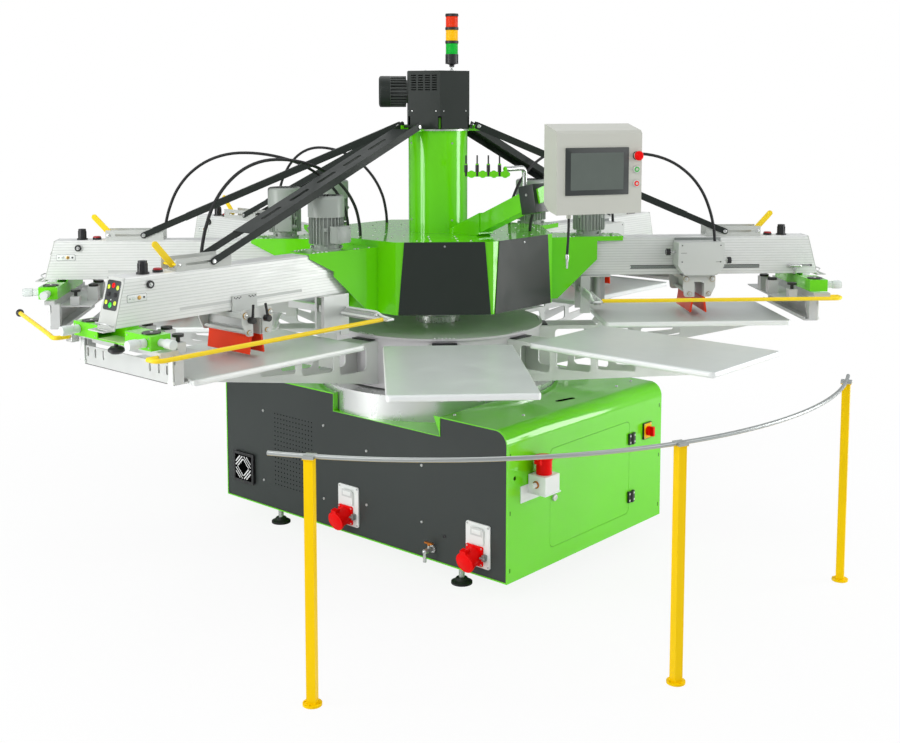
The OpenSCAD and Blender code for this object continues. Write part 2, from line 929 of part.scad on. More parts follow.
module socket_boxes() {
    color("white") {
        for (x = socket_xs) translate([x, panel_face_y, socket_z]) {
            sheet_xz(-socket_plate[1], 0) rounded_box2d(socket_plate[0], socket_plate[2], socket_wall * 2);
            sheet_xz(-socket_plate[1] - breaker_lid[1], -socket_plate[1])
                translate([0, breaker_lid_up]) rounded_box2d(breaker_lid[0], breaker_lid[2], socket_wall);
        }
        translate([base_x1, side_socket_y, side_socket_z]) {
            translate([side_bracket_t, -side_box[1] / 2, side_bracket_t])
                block([0, 0, 0], side_box);
            block([0, -side_bracket_l * 3 / 4, -side_bracket_h / 2],
                  [side_bracket_t, side_bracket_l / 2, side_bracket_h / 2]);
            block([0, -side_box[1] / 2 - socket_wall, 0],
                  [side_box[0] + side_bracket_t * 2, side_box[1] / 2 + socket_wall, side_bracket_t]);
        }
    }
}

// A socket's red shell: a cup on a tilted axis that starts on its plate
module shell_cup(d, l) {
    difference() {
        cylinder(h = l, d = d);
        translate([0, 0, socket_wall * 2]) cylinder(h = l, d = d - socket_wall * 2);
    }
    translate([0, d / 2 + lid_ear_d / 2, l - lid_ear_d / 2]) rotate([0, 90, 0])
        cylinder(h = lid_ear_w / 3, d = lid_ear_d, center = true);
    translate([-lid_ear_w / 6, 0, l - lid_ear_d]) difference() {
        cube([lid_ear_w / 3, d / 2 + lid_ear_d / 2, lid_ear_d]);
        translate([0, 0, -over]) cube([lid_ear_w, d / 2 - socket_wall, lid_ear_d * 2]);
    }
}

module shell_lid(d, l) {
    lift = l + fit_gap;
    ear_y = d / 2 + lid_ear_d / 2;
    translate([0, 0, lift]) cylinder(h = lid_t, d = d + socket_wall * 2);
    for (s = [-1, 1]) translate([s * (lid_ear_w / 3), 0, 0]) {
        translate([0, ear_y, l - lid_ear_d / 2]) rotate([0, 90, 0])
            cylinder(h = lid_ear_w / 3 - fit_gap * 2, d = lid_ear_d, center = true);
        translate([fit_gap - lid_ear_w / 6, ear_y - lid_ear_d / 2 + fit_gap + over / 2, l - lid_ear_d / 2])
            cube([lid_ear_w / 3 - fit_gap * 2, lid_ear_d - fit_gap - over / 2, lid_ear_d / 2 + lid_t / 2]);
    }
    translate([-lid_ear_w / 2 + fit_gap, 0, lift])
        cube([lid_ear_w - fit_gap * 2, ear_y + lid_ear_d / 2, lid_t]);
}

module at_front_socket(x) {
    translate([x + socket_shift, panel_face_y - socket_plate[1], socket_z - socket_drop])
        rotate([90 + socket_tilt, 0, 0]) children();
}

module at_side_socket() {
    translate([base_x1 + side_bracket_t + side_box[0] / 2, side_socket_y,
               side_socket_z + side_bracket_t + side_box[2]])
        rotate([0, 0, 180]) children();
}

module socket_shells() {
    color("red") {
        for (x = socket_xs) difference() {
            at_front_socket(x) translate([0, 0, -socket_wall * 3])
                shell_cup(socket_d, socket_l + socket_wall * 3);
            block([x - socket_plate[0], panel_face_y - socket_plate[1], 0],
                  [x + socket_plate[0], 0, base_z1]);
        }
        at_side_socket() shell_cup(side_socket_d, side_socket_h);
    }
}

module socket_lid_1() { color("red") at_front_socket(socket_xs[0]) shell_lid(socket_d, socket_l); }
module socket_lid_2() { color("red") at_front_socket(socket_xs[1]) shell_lid(socket_d, socket_l); }
module socket_lid_3() { color("red") at_side_socket() shell_lid(side_socket_d, side_socket_h); }

module tap_body() {
    color("silver") {
        bar_y(tap_x, tap_z, tap_d, panel_face_y - tap_reach, panel_face_y);
        bar_y(tap_x, tap_z, tap_d * 3 / 2, panel_face_y - tap_d / 4, panel_face_y);
        translate([tap_x, panel_face_y - tap_reach, tap_z]) sphere(d = tap_d);
        translate([tap_x, panel_face_y - tap_reach, tap_z - tap_spout_l]) difference() {
            cylinder(h = tap_spout_l, d = tap_d * 2 / 3);
            translate([0, 0, -over]) cylinder(h = tap_spout_l / 2, d = tap_d / 2);
        }
        translate([tap_x, panel_face_y - tap_reach / 2, tap_z])
            cylinder(h = tap_d / 2 + tap_stem_h / 2, d = tap_stem_d * 3 / 2);
    }
}

module tap_handle() {
    base_z = tap_z + tap_d / 2 + tap_stem_h / 2 + fit_gap;
    color("peru") translate([tap_x, panel_face_y - tap_reach / 2, base_z]) {
        cylinder(h = tap_stem_h / 2, d = tap_stem_d * 3 / 2);
        translate([-tap_lever[0] / 2, -tap_lever[1] / 2, tap_stem_h / 2]) cube(tap_lever);
    }
}

// Pedestal and carousel

module pedestal() {
    color("silver") {
        rotate_extrude($fn = 96) polygon([
            [post_r - post_wall, base_z0 + base_wall], [post_r, base_z0 + base_wall], [post_r, drum_z1],
            [drum_r - drum_wall, drum_z1], [drum_r - drum_wall, well_floor_z], [drum_r, well_floor_z],
            [drum_r, drum_z1], [drum_r + flange_over, drum_z1], [drum_r + flange_over, flange_z1],
            [post_r, flange_z1], [post_r, hub_z0], [post_r - post_wall, hub_z0]
        ]);
    }
}

module lift_sleeve() {
    shoulder_z = disc_top_z - boss_h - fit_gap;
    bore = post_r + fit_gap;
    color("lightsteelblue") rotate_extrude($fn = 96) polygon([
        [bore, flange_z1 + fit_gap], [sleeve_r, flange_z1 + fit_gap],
        [sleeve_r, shoulder_z - shoulder_t], [sleeve_r + boss_wall, shoulder_z - shoulder_t],
        [sleeve_r + boss_wall, shoulder_z], [sleeve_r, shoulder_z], [sleeve_r, sleeve_z1],
        [bore, sleeve_z1]
    ]);
}

module turntable() {
    boss_z0 = disc_top_z - boss_h;
    bore = sleeve_r + fit_gap;
    color("gray") {
        rotate_extrude($fn = 96) polygon([
            [bore, boss_z0], [bore + boss_wall, boss_z0], [bore + boss_wall, disc_top_z - disc_t],
            [table_r - table_wall, disc_top_z - disc_t], [table_r - table_wall, flange_z1 + table_clear],
            [table_r, flange_z1 + table_clear], [table_r, disc_top_z - disc_t],
            [disc_r, disc_top_z - disc_t], [disc_r, disc_top_z], [bore, disc_top_z]
        ]);
    }
}

arm_length = arm_tip_r - arm_start_r;

function arm_low(share) = arm_root_z + (arm_top_z - arm_tip_h - arm_root_z) * share;

// One lightening window, between two shares of the arm's length
module arm_window(from_share, to_share) {
    r = arm_window_r * (1 - from_share);
    x0 = arm_start_r + arm_length * from_share + r;
    x1 = arm_start_r + arm_length * to_share - r;
    top = arm_top_z - arm_margin - r;
    low0 = min(arm_low(from_share) + arm_lip * (1 - from_share) + arm_margin + r, top - over / 2);
    low1 = min(arm_low(to_share) + arm_lip * (1 - to_share) + arm_margin, top - over / 2);
    rounded([[x0, low0], [x1, low1], [x1, top], [x0, top]], r);
}

module arm_side_outline() {
    difference() {
        polygon([
            [arm_start_r, arm_low(0)], [arm_tip_r, arm_low(1)], [arm_tip_r, arm_top_z],
            [arm_tip_r, pallet_top_z - pallet_t], [pallet_r0 + arm_margin, pallet_top_z - pallet_t],
            [pallet_r0, arm_top_z], [arm_start_r, arm_top_z]
        ]);
        for (w = arm_window_shares) arm_window(w[0], w[1]);
    }
}

module pallet_arm() {
    difference() {
        union() {
            mirrored_y() sheet_xz(arm_half, arm_half + arm_plate_t) arm_side_outline();
            block([arm_start_r, -arm_half - over, arm_top_z - arm_plate_t],
                  [pallet_r0, arm_half + over, arm_top_z]);
            block([arm_start_r, -arm_half - over, arm_low(0) + arm_margin],
                  [table_r + arm_rib, arm_half + over, arm_low(0) + arm_margin + arm_plate_t]);
            block([pallet_r0 + arm_rib * 2, -arm_half - over, pallet_top_z - pallet_t - arm_plate_t],
                  [arm_tip_r, arm_half + over, pallet_top_z - pallet_t]);
        }
        cylinder(h = disc_top_z, r = table_r + fit_gap, $fn = 96);
    }
}

module pallet_arms() {
    color("silver") for (i = [0:pallet_count - 1]) rotate([0, 0, i * 360 / pallet_count]) pallet_arm();
}

// A pallet with rounded corners and a rolled rim
module pallet() {
    mid = (pallet_r0 + pallet_r1) / 2;
    long = pallet_r1 - pallet_r0;
    low = pallet_top_z - pallet_t;
    intersection() {
        translate([mid, 0, low]) linear_extrude(height = pallet_t)
            rounded_box2d(long, pallet_w, pallet_corner_r);
        translate([mid, 0, 0]) sheet_yz(-long / 2, long / 2)
            translate([0, low + pallet_t / 2]) rounded_box2d(pallet_w, pallet_t, pallet_edge_r);
        sheet_xz(-pallet_w / 2, pallet_w / 2)
            translate([mid, low + pallet_t / 2]) rounded_box2d(long, pallet_t, pallet_edge_r);
    }
}

module pallets() {
    color("gainsboro") for (i = [0:pallet_count - 1]) rotate([0, 0, i * 360 / pallet_count]) pallet();
}

// Hub, column and top

module octagon(apothem) {
    rotate(22.5) circle(r = apothem / cos(22.5), $fn = 8);
}

module hub_housing() {
    color("limegreen") translate([0, 0, hub_z0]) difference() {
        linear_extrude(height = hub_z1 - hub_z0) octagon(hub_apothem);
        translate([0, 0, hub_wall]) linear_extrude(height = hub_z1 - hub_z0 - hub_wall * 2)
            octagon(hub_apothem - hub_wall);
        cylinder(h = hub_z1, r = post_r - post_wall);
    }
}

module column_tube() {
    color("limegreen") {
        difference() {
            union() {
                translate([0, 0, hub_z1]) cylinder(h = column_top_z - hub_z1, r = column_r, $fn = 96);
                translate([0, 0, column_top_z - over / 2]) cylinder(h = cap_t + over / 2, r = cap_r, $fn = 96);
            }
            translate([0, 0, hub_z1 - over])
                cylinder(h = column_top_z - hub_z1 + over - column_wall, r = column_r - column_wall, $fn = 96);
            translate([0, 0, hub_z1]) cylinder(h = column_top_z, r = post_r - post_wall);
        }
        each_head() difference() {
            union() {
                block([column_r - column_wall, -lug_w / 2, column_top_z],
                      [lug_r1, lug_w / 2, column_top_z + cap_t]);
                for (s = [-1, 1])
                    block([shroud_r + over, s * lug_w / 2 - cap_t / 2, column_top_z],
                          [lug_r1, s * lug_w / 2 + cap_t / 2, column_top_z + lug_h]);
            }
            bar_y(tie_top_r, tie_top_z, tie_pin_d + fit_gap * 2, -lug_w, lug_w);
        }
    }
}

module hexagon(r) {
    rotate(shroud_turn) circle(r = r, $fn = 6);
}

module top_shroud() {
    apothem = shroud_r * cos(30);
    color("darkslategray") difference() {
        translate([0, 0, shroud_z0]) linear_extrude(height = shroud_h) hexagon(shroud_r);
        translate([0, 0, shroud_z0 - over]) linear_extrude(height = shroud_h + over - shroud_wall)
            hexagon(shroud_r - shroud_wall);
        rotate([0, 0, louvre_angle]) for (i = [0:louvre_columns - 1], j = [0:louvre_rows - 1])
            translate([apothem, (i - (louvre_columns - 1) / 2) * (louvre_l + louvre_h * 2),
                       shroud_z1 - louvre_top - j * louvre_pitch])
                cube([shroud_wall * 4, louvre_l, louvre_h], center = true);
        for (a = [shroud_turn, shroud_turn + 60, shroud_turn - 60]) rotate([0, 0, a])
            block([shroud_r / 2, -slot_cut_w / 2, shroud_z0 - over],
                  [shroud_r + over, slot_cut_w / 2, shroud_z0 + slot_cut_h]);
    }
}

module lift_motor() {
    apothem = shroud_r * cos(30);
    z = shroud_z1 - top_motor_drop;
    color("black") rotate([0, 0, top_motor_angle]) {
        bar_x(0, z, top_motor_d * 3 / 4, apothem, apothem + top_motor_l / 2);
        translate([apothem + motor_flange_h, 0, z]) rotate([0, 90, 0])
            linear_extrude(height = top_motor_l - top_motor_cowl_l)
                motor_section(top_motor_d * 3 / 4, top_motor_d);
        bar_x(0, z, top_motor_d, apothem + top_motor_l - top_motor_cowl_l, apothem + top_motor_l);
    }
}

module light_tower() {
    top = tower_base_h + (lamp_h + tower_ring_h) * 3;
    color("black") translate([tower_x, tower_y, shroud_z1]) {
        cylinder(h = tower_pole_h + over, d = tower_pole_d);
        translate([0, 0, tower_pole_h]) {
            cylinder(h = tower_base_h, d = lamp_d);
            cylinder(h = top - tower_ring_h / 2, d = tower_core_d);
            for (i = [1:3]) translate([0, 0, tower_base_h + i * (lamp_h + tower_ring_h) - tower_ring_h])
                cylinder(h = tower_ring_h, d = lamp_d);
        }
    }
}

module lamp_lenses() {
    colours = ["green", "orange", "orangered"];
    for (i = [0:2]) color(colours[i])
        translate([tower_x, tower_y,
                   shroud_z1 + tower_pole_h + tower_base_h + i * (lamp_h + tower_ring_h) + fit_gap / 2])
            difference() {
                cylinder(h = lamp_h - fit_gap, d = lamp_d - over);
                translate([0, 0, -over]) cylinder(h = lamp_h + over * 2, d = tower_core_d + fit_gap * 2);
            }
}

// Print heads

bracket_splay = atan2(bracket_half - bracket_tip_half, bracket_r1 - bracket_side_r0);

module bracket_side(stepped) {
    step = stepped ? bracket_top_z - bracket_lip : bracket_top_z - bracket_lip * 4;
    polygon([
        [0, hub_z0], [bracket_low_r - bracket_side_r0, hub_z0],
        [bracket_step_r - bracket_side_r0, beam_z0 + arm_h], [bracket_step_r - bracket_side_r0, step],
        [bracket_r1 - bracket_side_r0, bracket_top_z - bracket_lip],
        [bracket_r1 - bracket_side_r0, bracket_top_z], [0, bracket_top_z]
    ]);
}

module head_bracket() {
    translate([bracket_side_r0, bracket_half - bracket_t, 0]) rotate([0, 0, -bracket_splay])
        sheet_xz(0, bracket_t) bracket_side(false);
    translate([bracket_side_r0, bracket_t - bracket_half, 0]) rotate([0, 0, bracket_splay])
        sheet_xz(-bracket_t, 0) bracket_side(true);
    translate([0, 0, beam_z1]) linear_extrude(height = bracket_t) polygon([
        [hub_apothem, -bracket_half], [bracket_r1, -bracket_tip_half], [bracket_r1, bracket_tip_half],
        [hub_apothem, bracket_half]
    ]);
    block([hub_apothem, -bracket_half, hub_z0], [bracket_side_r0, bracket_half, bracket_top_z]);
}

module head_brackets() {
    color("limegreen") each_head() head_bracket();
}

// Extruded section of a beam: chamfered top, fine grooves down both sides, hollow
module beam_section() {
    half = beam_w / 2;
    difference() {
        polygon([
            [-half, beam_z0], [half, beam_z0], [half, beam_z1 - beam_chamfer],
            [half - beam_chamfer, beam_z1], [beam_chamfer - half, beam_z1], [-half, beam_z1 - beam_chamfer]
        ]);
        translate([-half + beam_wall, beam_z0 + beam_wall])
            square([beam_w - beam_wall * 2, beam_z1 - beam_z0 - beam_wall * 2]);
        for (s = [-1, 1], i = [0:groove_count - 1])
            translate([s * half, groove_z0 + i * groove_pitch])
                square([groove_depth * 2, groove_h], center = true);
    }
}

module head_beam() {
    end_r = beam_r1 + beam_slant;
    difference() {
        sheet_yz(beam_r0, end_r) beam_section();
        sheet_xz(-beam_w, beam_w) polygon([
            [end_r, beam_z0], [beam_r1, beam_z1], [beam_r1, beam_z1 + over],
            [end_r + over, beam_z1 + over], [end_r + over, beam_z0]
        ]);
        block([slot_r0, -beam_w, guide_slot_z - guide_slot_h / 2],
              [slot_r1, beam_w, guide_slot_z + guide_slot_h / 2]);
    }
}

module head_beams() {
    color("whitesmoke") each_head() head_beam();
}

function beam_end_r(z) = beam_r1 + beam_slant * (beam_z1 - z) / (beam_z1 - beam_z0);

module end_plate() {
    low = beam_z0 - end_plate_drop;
    difference() {
        union() {
            sheet_xz(-beam_w / 2, beam_w / 2) polygon([
                [beam_end_r(low), low], [beam_end_r(low) + end_plate_t, low],
                [beam_end_r(beam_z1) + end_plate_t, beam_z1], [beam_end_r(beam_z1), beam_z1]
            ]);
            block([beam_end_r(low), -end_foot_w / 2, low],
                  [beam_end_r(low) + end_foot_l, end_foot_w / 2, low + end_plate_t]);
        }
        block([beam_end_r(low) + end_foot_l / 3, -end_foot_w / 3, low - over],
              [beam_end_r(low) + end_foot_l * 3 / 4, end_foot_w / 3, low + end_plate_t + over]);
    }
}

module tie_bracket() {
    half = tie_bracket_w / 2;
    difference() {
        union() {
            block([tie_bracket_r0, -half, beam_z1], [tie_bracket_r1, half, beam_z1 + tie_bracket_t]);
            mirrored_y() block([tie_bracket_r0, half - tie_bracket_t, beam_z1],
                               [tie_bracket_r1, half, beam_z1 + tie_bracket_h]);
        }
        block([tie_slot_r0, -half - over, tie_pin_z - tie_pin_d / 2 - fit_gap],
              [tie_slot_r1, half + over, tie_pin_z + tie_pin_d / 2 + fit_gap]);
        bar_y(tie_slot_r0, tie_pin_z, tie_pin_d + fit_gap * 2, -half - over, half + over);
        bar_y(tie_slot_r1, tie_pin_z, tie_pin_d + fit_gap * 2, -half - over, half + over);
        bar_y(lever_r, beam_z1 + tie_bracket_h / 2, lever_shaft_d + fit_gap * 2,
              -half - over, half + over);
    }
}

module head_plates() {
    color("silver") each_head() {
        end_plate();
        tie_bracket();
    }
}

// Finned section of a motor frame
module motor_section(core_d, fin_d) {
    circle(d = core_d);
    for (i = [0:motor_fin_count - 1]) rotate(i * 360 / motor_fin_count)
        translate([0, -motor_fin_t / 2]) square([fin_d / 2, motor_fin_t]);
}

module head_motor() {
    stator_z = motor_flange_h + motor_neck_h;
    cowl_z = motor_h - motor_cowl_h;
    translate([motor_r, 0, bracket_top_z]) {
        cylinder(h = motor_flange_h, d = motor_flange_d);
        cylinder(h = stator_z + over, d = motor_neck_d);
        translate([0, 0, stator_z]) linear_extrude(height = cowl_z - stator_z + over)
            motor_section(motor_core_d, motor_d - motor_fin_t * 2);
        rotate_extrude() polygon([
            [0, cowl_z], [motor_d / 2, cowl_z], [motor_d / 2, motor_h - motor_edge_r],
            [motor_d / 2 - motor_edge_r / 3, motor_h - motor_edge_r / 3],
            [motor_d / 2 - motor_edge_r, motor_h], [0, motor_h]
        ]);
        translate([-terminal_box[0] / 2, motor_core_d / 2 - over, stator_z + motor_flange_h])
            cube([terminal_box[0], terminal_box[1], terminal_box[2]]);
    }
}

module head_motors() {
    color("lightgray") each_head() head_motor();
}

tie_run = sqrt(pow(tie_pin_r - tie_top_r, 2) + pow(tie_top_z - tie_pin_z, 2));
tie_angle = atan2(tie_top_z - tie_pin_z, tie_pin_r - tie_top_r);

// A tie bar, built along its own length from the lower pin towards the column
module tie_bar() {
    half = tie_bar_w / 2;
    cheek = tie_bar_t + over / 2;
    translate([tie_pin_r, 0, tie_pin_z]) rotate([0, tie_angle, 0]) {
        mirrored_y() {
            block([-tie_run - tie_bar_h / 2, half - cheek, -tie_bar_h / 2],
                  [-tie_fork_l + over, half, tie_bar_h / 2]);
            block([-tie_fork_l, half - cheek, -tie_bar_h / 2 + over],
                  [0, half, tie_bar_h / 2 - over]);
            bar_y(0, 0, tie_bar_h - over * 2, half - cheek, half);
        }
        difference() {
            block([-tie_run + tie_bar_h * 2, -half + over, tie_bar_h / 2 - tie_bar_t],
                  [-tie_fork_l, half - over, tie_bar_h / 2]);
            for (i = [1:tie_slot_count]) {
                x = -tie_fork_l - (tie_run - tie_fork_l - tie_bar_h * 2) * i / (tie_slot_count + 1);
                translate([x, 0, tie_bar_h / 2 - tie_bar_t - over]) linear_extrude(height = tie_bar_t + over * 2)
                    rounded([[-tie_slot_l / 2, 0], [tie_slot_l / 2, 0]], tie_slot_w / 2);
            }
        }
        bar_y(0, 0, tie_pin_d, -half, half);
        bar_y(-tie_run, 0, tie_pin_d, -half, half);
    }
}

module tie_bars() {
    color("darkslategray") each_head() tie_bar();
}

module lock_levers() {
    color("gold") each_head() translate([lever_r, 0, beam_z1 + tie_bracket_h / 2]) {
        bar_y(0, 0, lever_shaft_d, -tie_bracket_w / 2, tie_bracket_w / 2);
        rotate([0, -lever_tilt, 0]) sheet_xz(-lever_t / 2, lever_t / 2)
            rounded([[0, 0], [lever_l, 0]], lever_w / 2);
    }
}

module machine_knobs() {
    color("black") each_head() {
        translate([knob_r, 0, beam_z1]) {
            cylinder(h = knob_base_h, d = knob_base_d);
            cylinder(h = knob_h, d1 = knob_d + over, d2 = knob_d - over);
        }
        bar_y(side_lock_r, side_lock_z, side_lock_d, beam_w / 2, beam_w / 2 + side_lock_h);
        for (s = [-1, 1]) translate([holder_disc_r, s * holder_disc_y, holder_z1])
            cylinder(h = holder_disc_h, d = holder_disc_d);
        translate([star_r, star_y, holder_z0 - star_stem_h]) {
            cylinder(h = star_stem_h, d = star_stem_d);
            translate([0, 0, -star_h]) rotate_extrude() polygon([
                [0, 0], [star_d / 3, 0], [star_d / 2, star_h / 3], [star_d / 2, star_h * 2 / 3],
                [star_d / 3, star_h], [0, star_h]
            ]);
        }
        for (s = [-1, 1]) {
            translate([piston_r, s * piston_y, shelf_z0 + shelf_t + piston[2]])
                cylinder(h = clamp_knob_h, d = clamp_knob_d);
            translate([screw_r, s * screw_y, shelf_z0 + shelf_t + screw_box[2]]) {
                cylinder(h = clamp_knob_h * 2, d = star_stem_d);
                translate([0, 0, clamp_knob_h * 2]) cylinder(h = clamp_knob_h, d = clamp_knob_d);
            }
        }
    }
}

module stop_buttons() {
    color("red") each_head() translate([stop_r, 0, beam_z1]) {
        cylinder(h = stop_h, d = stop_d);
    }
}

// Screen frame holder: a channel with a block at each end
module frame_holder() {
    block([holder_r0, -holder_half, holder_z0], [holder_r1, holder_half, holder_z0 + holder_t]);
    block([holder_r0, -holder_half, holder_z0], [holder_r0 + holder_t, holder_half, holder_z1]);
    block([holder_r0, -beam_w / 2, holder_z0], [holder_r0 + holder_t, beam_w / 2, beam_z0]);
    mirrored_y() difference() {
        block([holder_r0, holder_block_y, holder_z0], [holder_r1, holder_half, holder_z1]);
        block([holder_r0 + holder_t, holder_block_y - over, holder_z0 + holder_t],
              [holder_r1 - holder_t, holder_half - holder_t, holder_z1 - holder_t]);
    }
}

module frame_holders() {
    color("limegreen") each_head() frame_holder();
}

module registration_knob() {
    cylinder(h = reg_neck_l + over, d = reg_neck_d);
    translate([0, 0, reg_neck_l]) cylinder(h = reg_head_l, d = reg_head_d);
}

module registration_knobs() {
    z = (holder_z0 + holder_z1) / 2;
    color("white") each_head() {
        for (s = [-1, 1]) translate([holder_r1, s * reg_y, z]) rotate([0, 90, 0]) registration_knob();
        translate([holder_disc_r, holder_half, z]) rotate([-90, 0, 0]) registration_knob();
    }
}

// Outer clamp under the holder and inner clamp near the hub
module outer_clamp() {
    rail_z0 = holder_z0 - rail_h;
    post_r0 = clamp_front_r - post_w;
    block([clamp_front_r - rail_w / 3, -rail_half, rail_z0],
          [clamp_front_r + rail_w * 2 / 3, rail_half, holder_z0]);
    mirrored_y() block([post_r0, rail_half - post_w, clamp_z0 + clamp_lip],
                       [clamp_front_r, rail_half, rail_z0 + over]);
    difference() {
        sheet_yz(clamp_front_r, clamp_front_r + clamp_lip) translate([0, clamp_z0 + clamp_front_h / 2])
            square([rail_half * 2, clamp_front_h], center = true);
        for (y = clamp_slots)
            sheet_yz(clamp_front_r - over, clamp_front_r + clamp_lip + over)
                translate([y, clamp_z0 + clamp_front_h * 2 / 3])
                    rounded([[0, -clamp_slot_h / 2], [0, clamp_slot_h / 2]], clamp_slot_w / 2);
    }
    block([clamp_r0, -rail_half, clamp_z0],
          [clamp_front_r + clamp_lip, rail_half, clamp_z0 + clamp_lip]);
    block([clamp_r0, -rail_half, clamp_z0],
          [clamp_r0 + clamp_lip, rail_half, clamp_z0 + clamp_lip * 3]);
    block([shelf_r0, -shelf_half, shelf_z0],
          [clamp_front_r - rail_w / 3 + over, shelf_half, shelf_z0 + shelf_t]);
    block([clamp_front_r - rail_w / 3, -shelf_half, shelf_z0],
          [clamp_front_r, shelf_half, rail_z0 + over]);
    for (s = [-1, 1]) {
        translate([piston_r - piston[0] / 2, s * piston_y - piston[1] / 2, shelf_z0 + shelf_t - over / 2])
            cube([piston[0], piston[1], piston[2] + over / 2]);
        translate([screw_r - screw_box[0] / 2, s * screw_y - screw_box[1] / 2, shelf_z0 + shelf_t - over / 2])
            cube([screw_box[0], screw_box[1], screw_box[2] + over / 2]);
    }
}

module inner_clamp() {
    mirrored_y() block([inner_r - inner_post[0] / 2, inner_post_y - inner_post[1], inner_post_z0],
                       [inner_r + inner_post[0] / 2, inner_post_y, beam_z0 - bracket_t]);
    block([inner_r - inner_post[0] / 2, -inner_post_y, beam_z0 - bracket_t],
          [inner_r + inner_plate_l, inner_post_y, beam_z0]);
    translate([inner_r - inner_bar[0] / 2, -inner_bar[1] / 2, inner_bar_z]) cube(inner_bar);
    block([inner_r + inner_post[0] / 2, inner_post_y - inner_plate_t, inner_plate_z0],
          [inner_r + inner_plate_l, inner_post_y, beam_z0]);
    translate([inner_r + inner_plate_l * 2 / 3, inner_post_y - inner_cyl_d, inner_plate_z0])
        cylinder(h = beam_z0 - inner_plate_z0 - over, d = inner_cyl_d);
}

// Flat loop that carries a safety bar's inner end, on the head's loading side
module bar_loop(side) {
    mirror([0, side < 0 ? 1 : 0, 0]) {
        y0 = inner_bar[1] / 2;
        z = inner_bar_z + inner_bar[2] / 2;
        for (x = [inner_r - inner_bar[0] / 2, inner_r + inner_bar[0] / 2 + bar_loop_w])
            block([x, y0 - over, z - bar_loop_w / 2], [x + bar_loop_w, bar_y + bar_d, z + bar_loop_w / 2]);
        block([inner_r - inner_bar[0] / 2, bar_y + bar_d, z - bar_loop_w / 2],
              [inner_r + inner_bar[0] / 2 + bar_loop_w * 2, bar_y + bar_d + bar_loop_w, z + bar_loop_w / 2]);
        block([inner_r + inner_bar[0] / 2 - over, y0 - bar_loop_w, z - bar_loop_w / 2],
              [inner_r + inner_bar[0] / 2 + bar_loop_w * 2, y0, z + bar_loop_w / 2]);
    }
}

module bar_block(side) {
    mirror([0, side < 0 ? 1 : 0, 0])
        block([clamp_front_r + rail_w * 2 / 3 - over, rail_half - post_w, holder_z0 - rail_h - bar_d / 2],
              [clamp_front_r + rail_w + bar_d, rail_half, holder_z0]);
}

module frame_clamps() {
    color("silver") {
        each_head() {
            outer_clamp();
            inner_clamp();
        }
        rotate([0, 0, 45]) {
            bar_loop(-1);
            bar_block(-1);
        }
        rotate([0, 0, -90]) {
            bar_loop(1);
            bar_block(1);
        }
    }
}

// A safety bar along one side of a head, bent back to its block at the outer end
module safety_bar() {
    start_r = inner_r + inner_bar[0] / 2 + bar_loop_w * 2 + fit_gap;
    bar_x(bar_y, bar_z, bar_d, start_r, bar_r1 - bar_bend_r);
    translate([bar_r1 - bar_bend_r, bar_y - bar_bend_r, bar_z]) rotate_extrude(angle = 90)
        translate([bar_bend_r, 0]) circle(d = bar_d);
    bar_y(bar_r1, bar_z, bar_d, rail_half - post_w / 2, bar_y - bar_bend_r);
    bar_x(rail_half - post_w / 2, bar_z, bar_d, clamp_front_r + rail_w + bar_d + fit_gap, bar_r1);
}

module safety_bars() {
    color("gold") {
        rotate([0, 0, -90]) safety_bar();
        rotate([0, 0, 45]) mirror([0, 1, 0]) safety_bar();
    }
}

// Air hose loops: one tube for each head, swept along the same curve

function path_dir(p, i) = unit(p[min(i + 1, len(p) - 1)] - p[max(i - 1, 0)]);

function curve_at(p, i, t) =
    let (
        n = len(p),
        a = p[max(i - 1, 0)], b = p[i], c = p[min(i + 1, n - 1)], d = p[min(i + 2, n - 1)]
    )
    0.5 * (2 * b + (c - a) * t + (2 * a - 5 * b + 4 * c - d) * t * t
           + (3 * b - a - 3 * c + d) * t * t * t);

function smooth_path(p, steps) = concat(
    [for (i = [0:len(p) - 2], k = [0:steps - 1]) curve_at(p, i, k / steps)],
    [p[len(p) - 1]]
);

module tube(points, d, sides, first, last) {
    n = len(points);
    side = [0, 1, 0];
    rings = [
        for (i = [0:n - 1])
            let (
                t = i == 0 ? first : i == n - 1 ? last : path_dir(points, i),
                u = unit(cross(side, t)),
                v = cross(t, u)
            )
            for (k = [0:sides - 1])
                let (a = (k + 0.5) * 360 / sides)
                points[i] + d / 2 * (cos(a) * u + sin(a) * v)
    ];
    skin = [
        for (i = [0:n - 2], k = [0:sides - 1])
            let (a = i * sides + k, b = i * sides + (k + 1) % sides)
                each [[a, a + sides, b + sides], [a, b + sides, b]]
    ];
    ends = [
        for (k = [1:sides - 2]) [0, k, k + 1],
        for (k = [1:sides - 2]) [(n - 1) * sides, (n - 1) * sides + k + 1, (n - 1) * sides + k]
    ];
    polyhedron(points = rings, faces = concat(skin, ends));
}

module hoses() {
    color("black") each_head()
        tube(smooth_path(hose_points, 3), hose_d, hose_sides, [0, 0, 1], [0, 0, -1]);
}

// Carriage: runs on the beam's slot, carries the flood bar and guides the squeegee

module splayed_blade(side) {
    top = holder_low_z + blade_hold;
    lean = side * blade_lean;
    sheet_xz(-blade_l / 2, blade_l / 2) polygon([
        [side * holder_x - blade_t / 2, top], [side * holder_x + blade_t / 2, top],
        [side * holder_x + lean + blade_t / 2, blade_tip_z + over],
        [side * holder_x + lean + blade_t / 2 - over, blade_tip_z],
        [side * holder_x + lean + over - blade_t / 2, blade_tip_z],
        [side * holder_x + lean - blade_t / 2, blade_tip_z + over]
    ]);
}

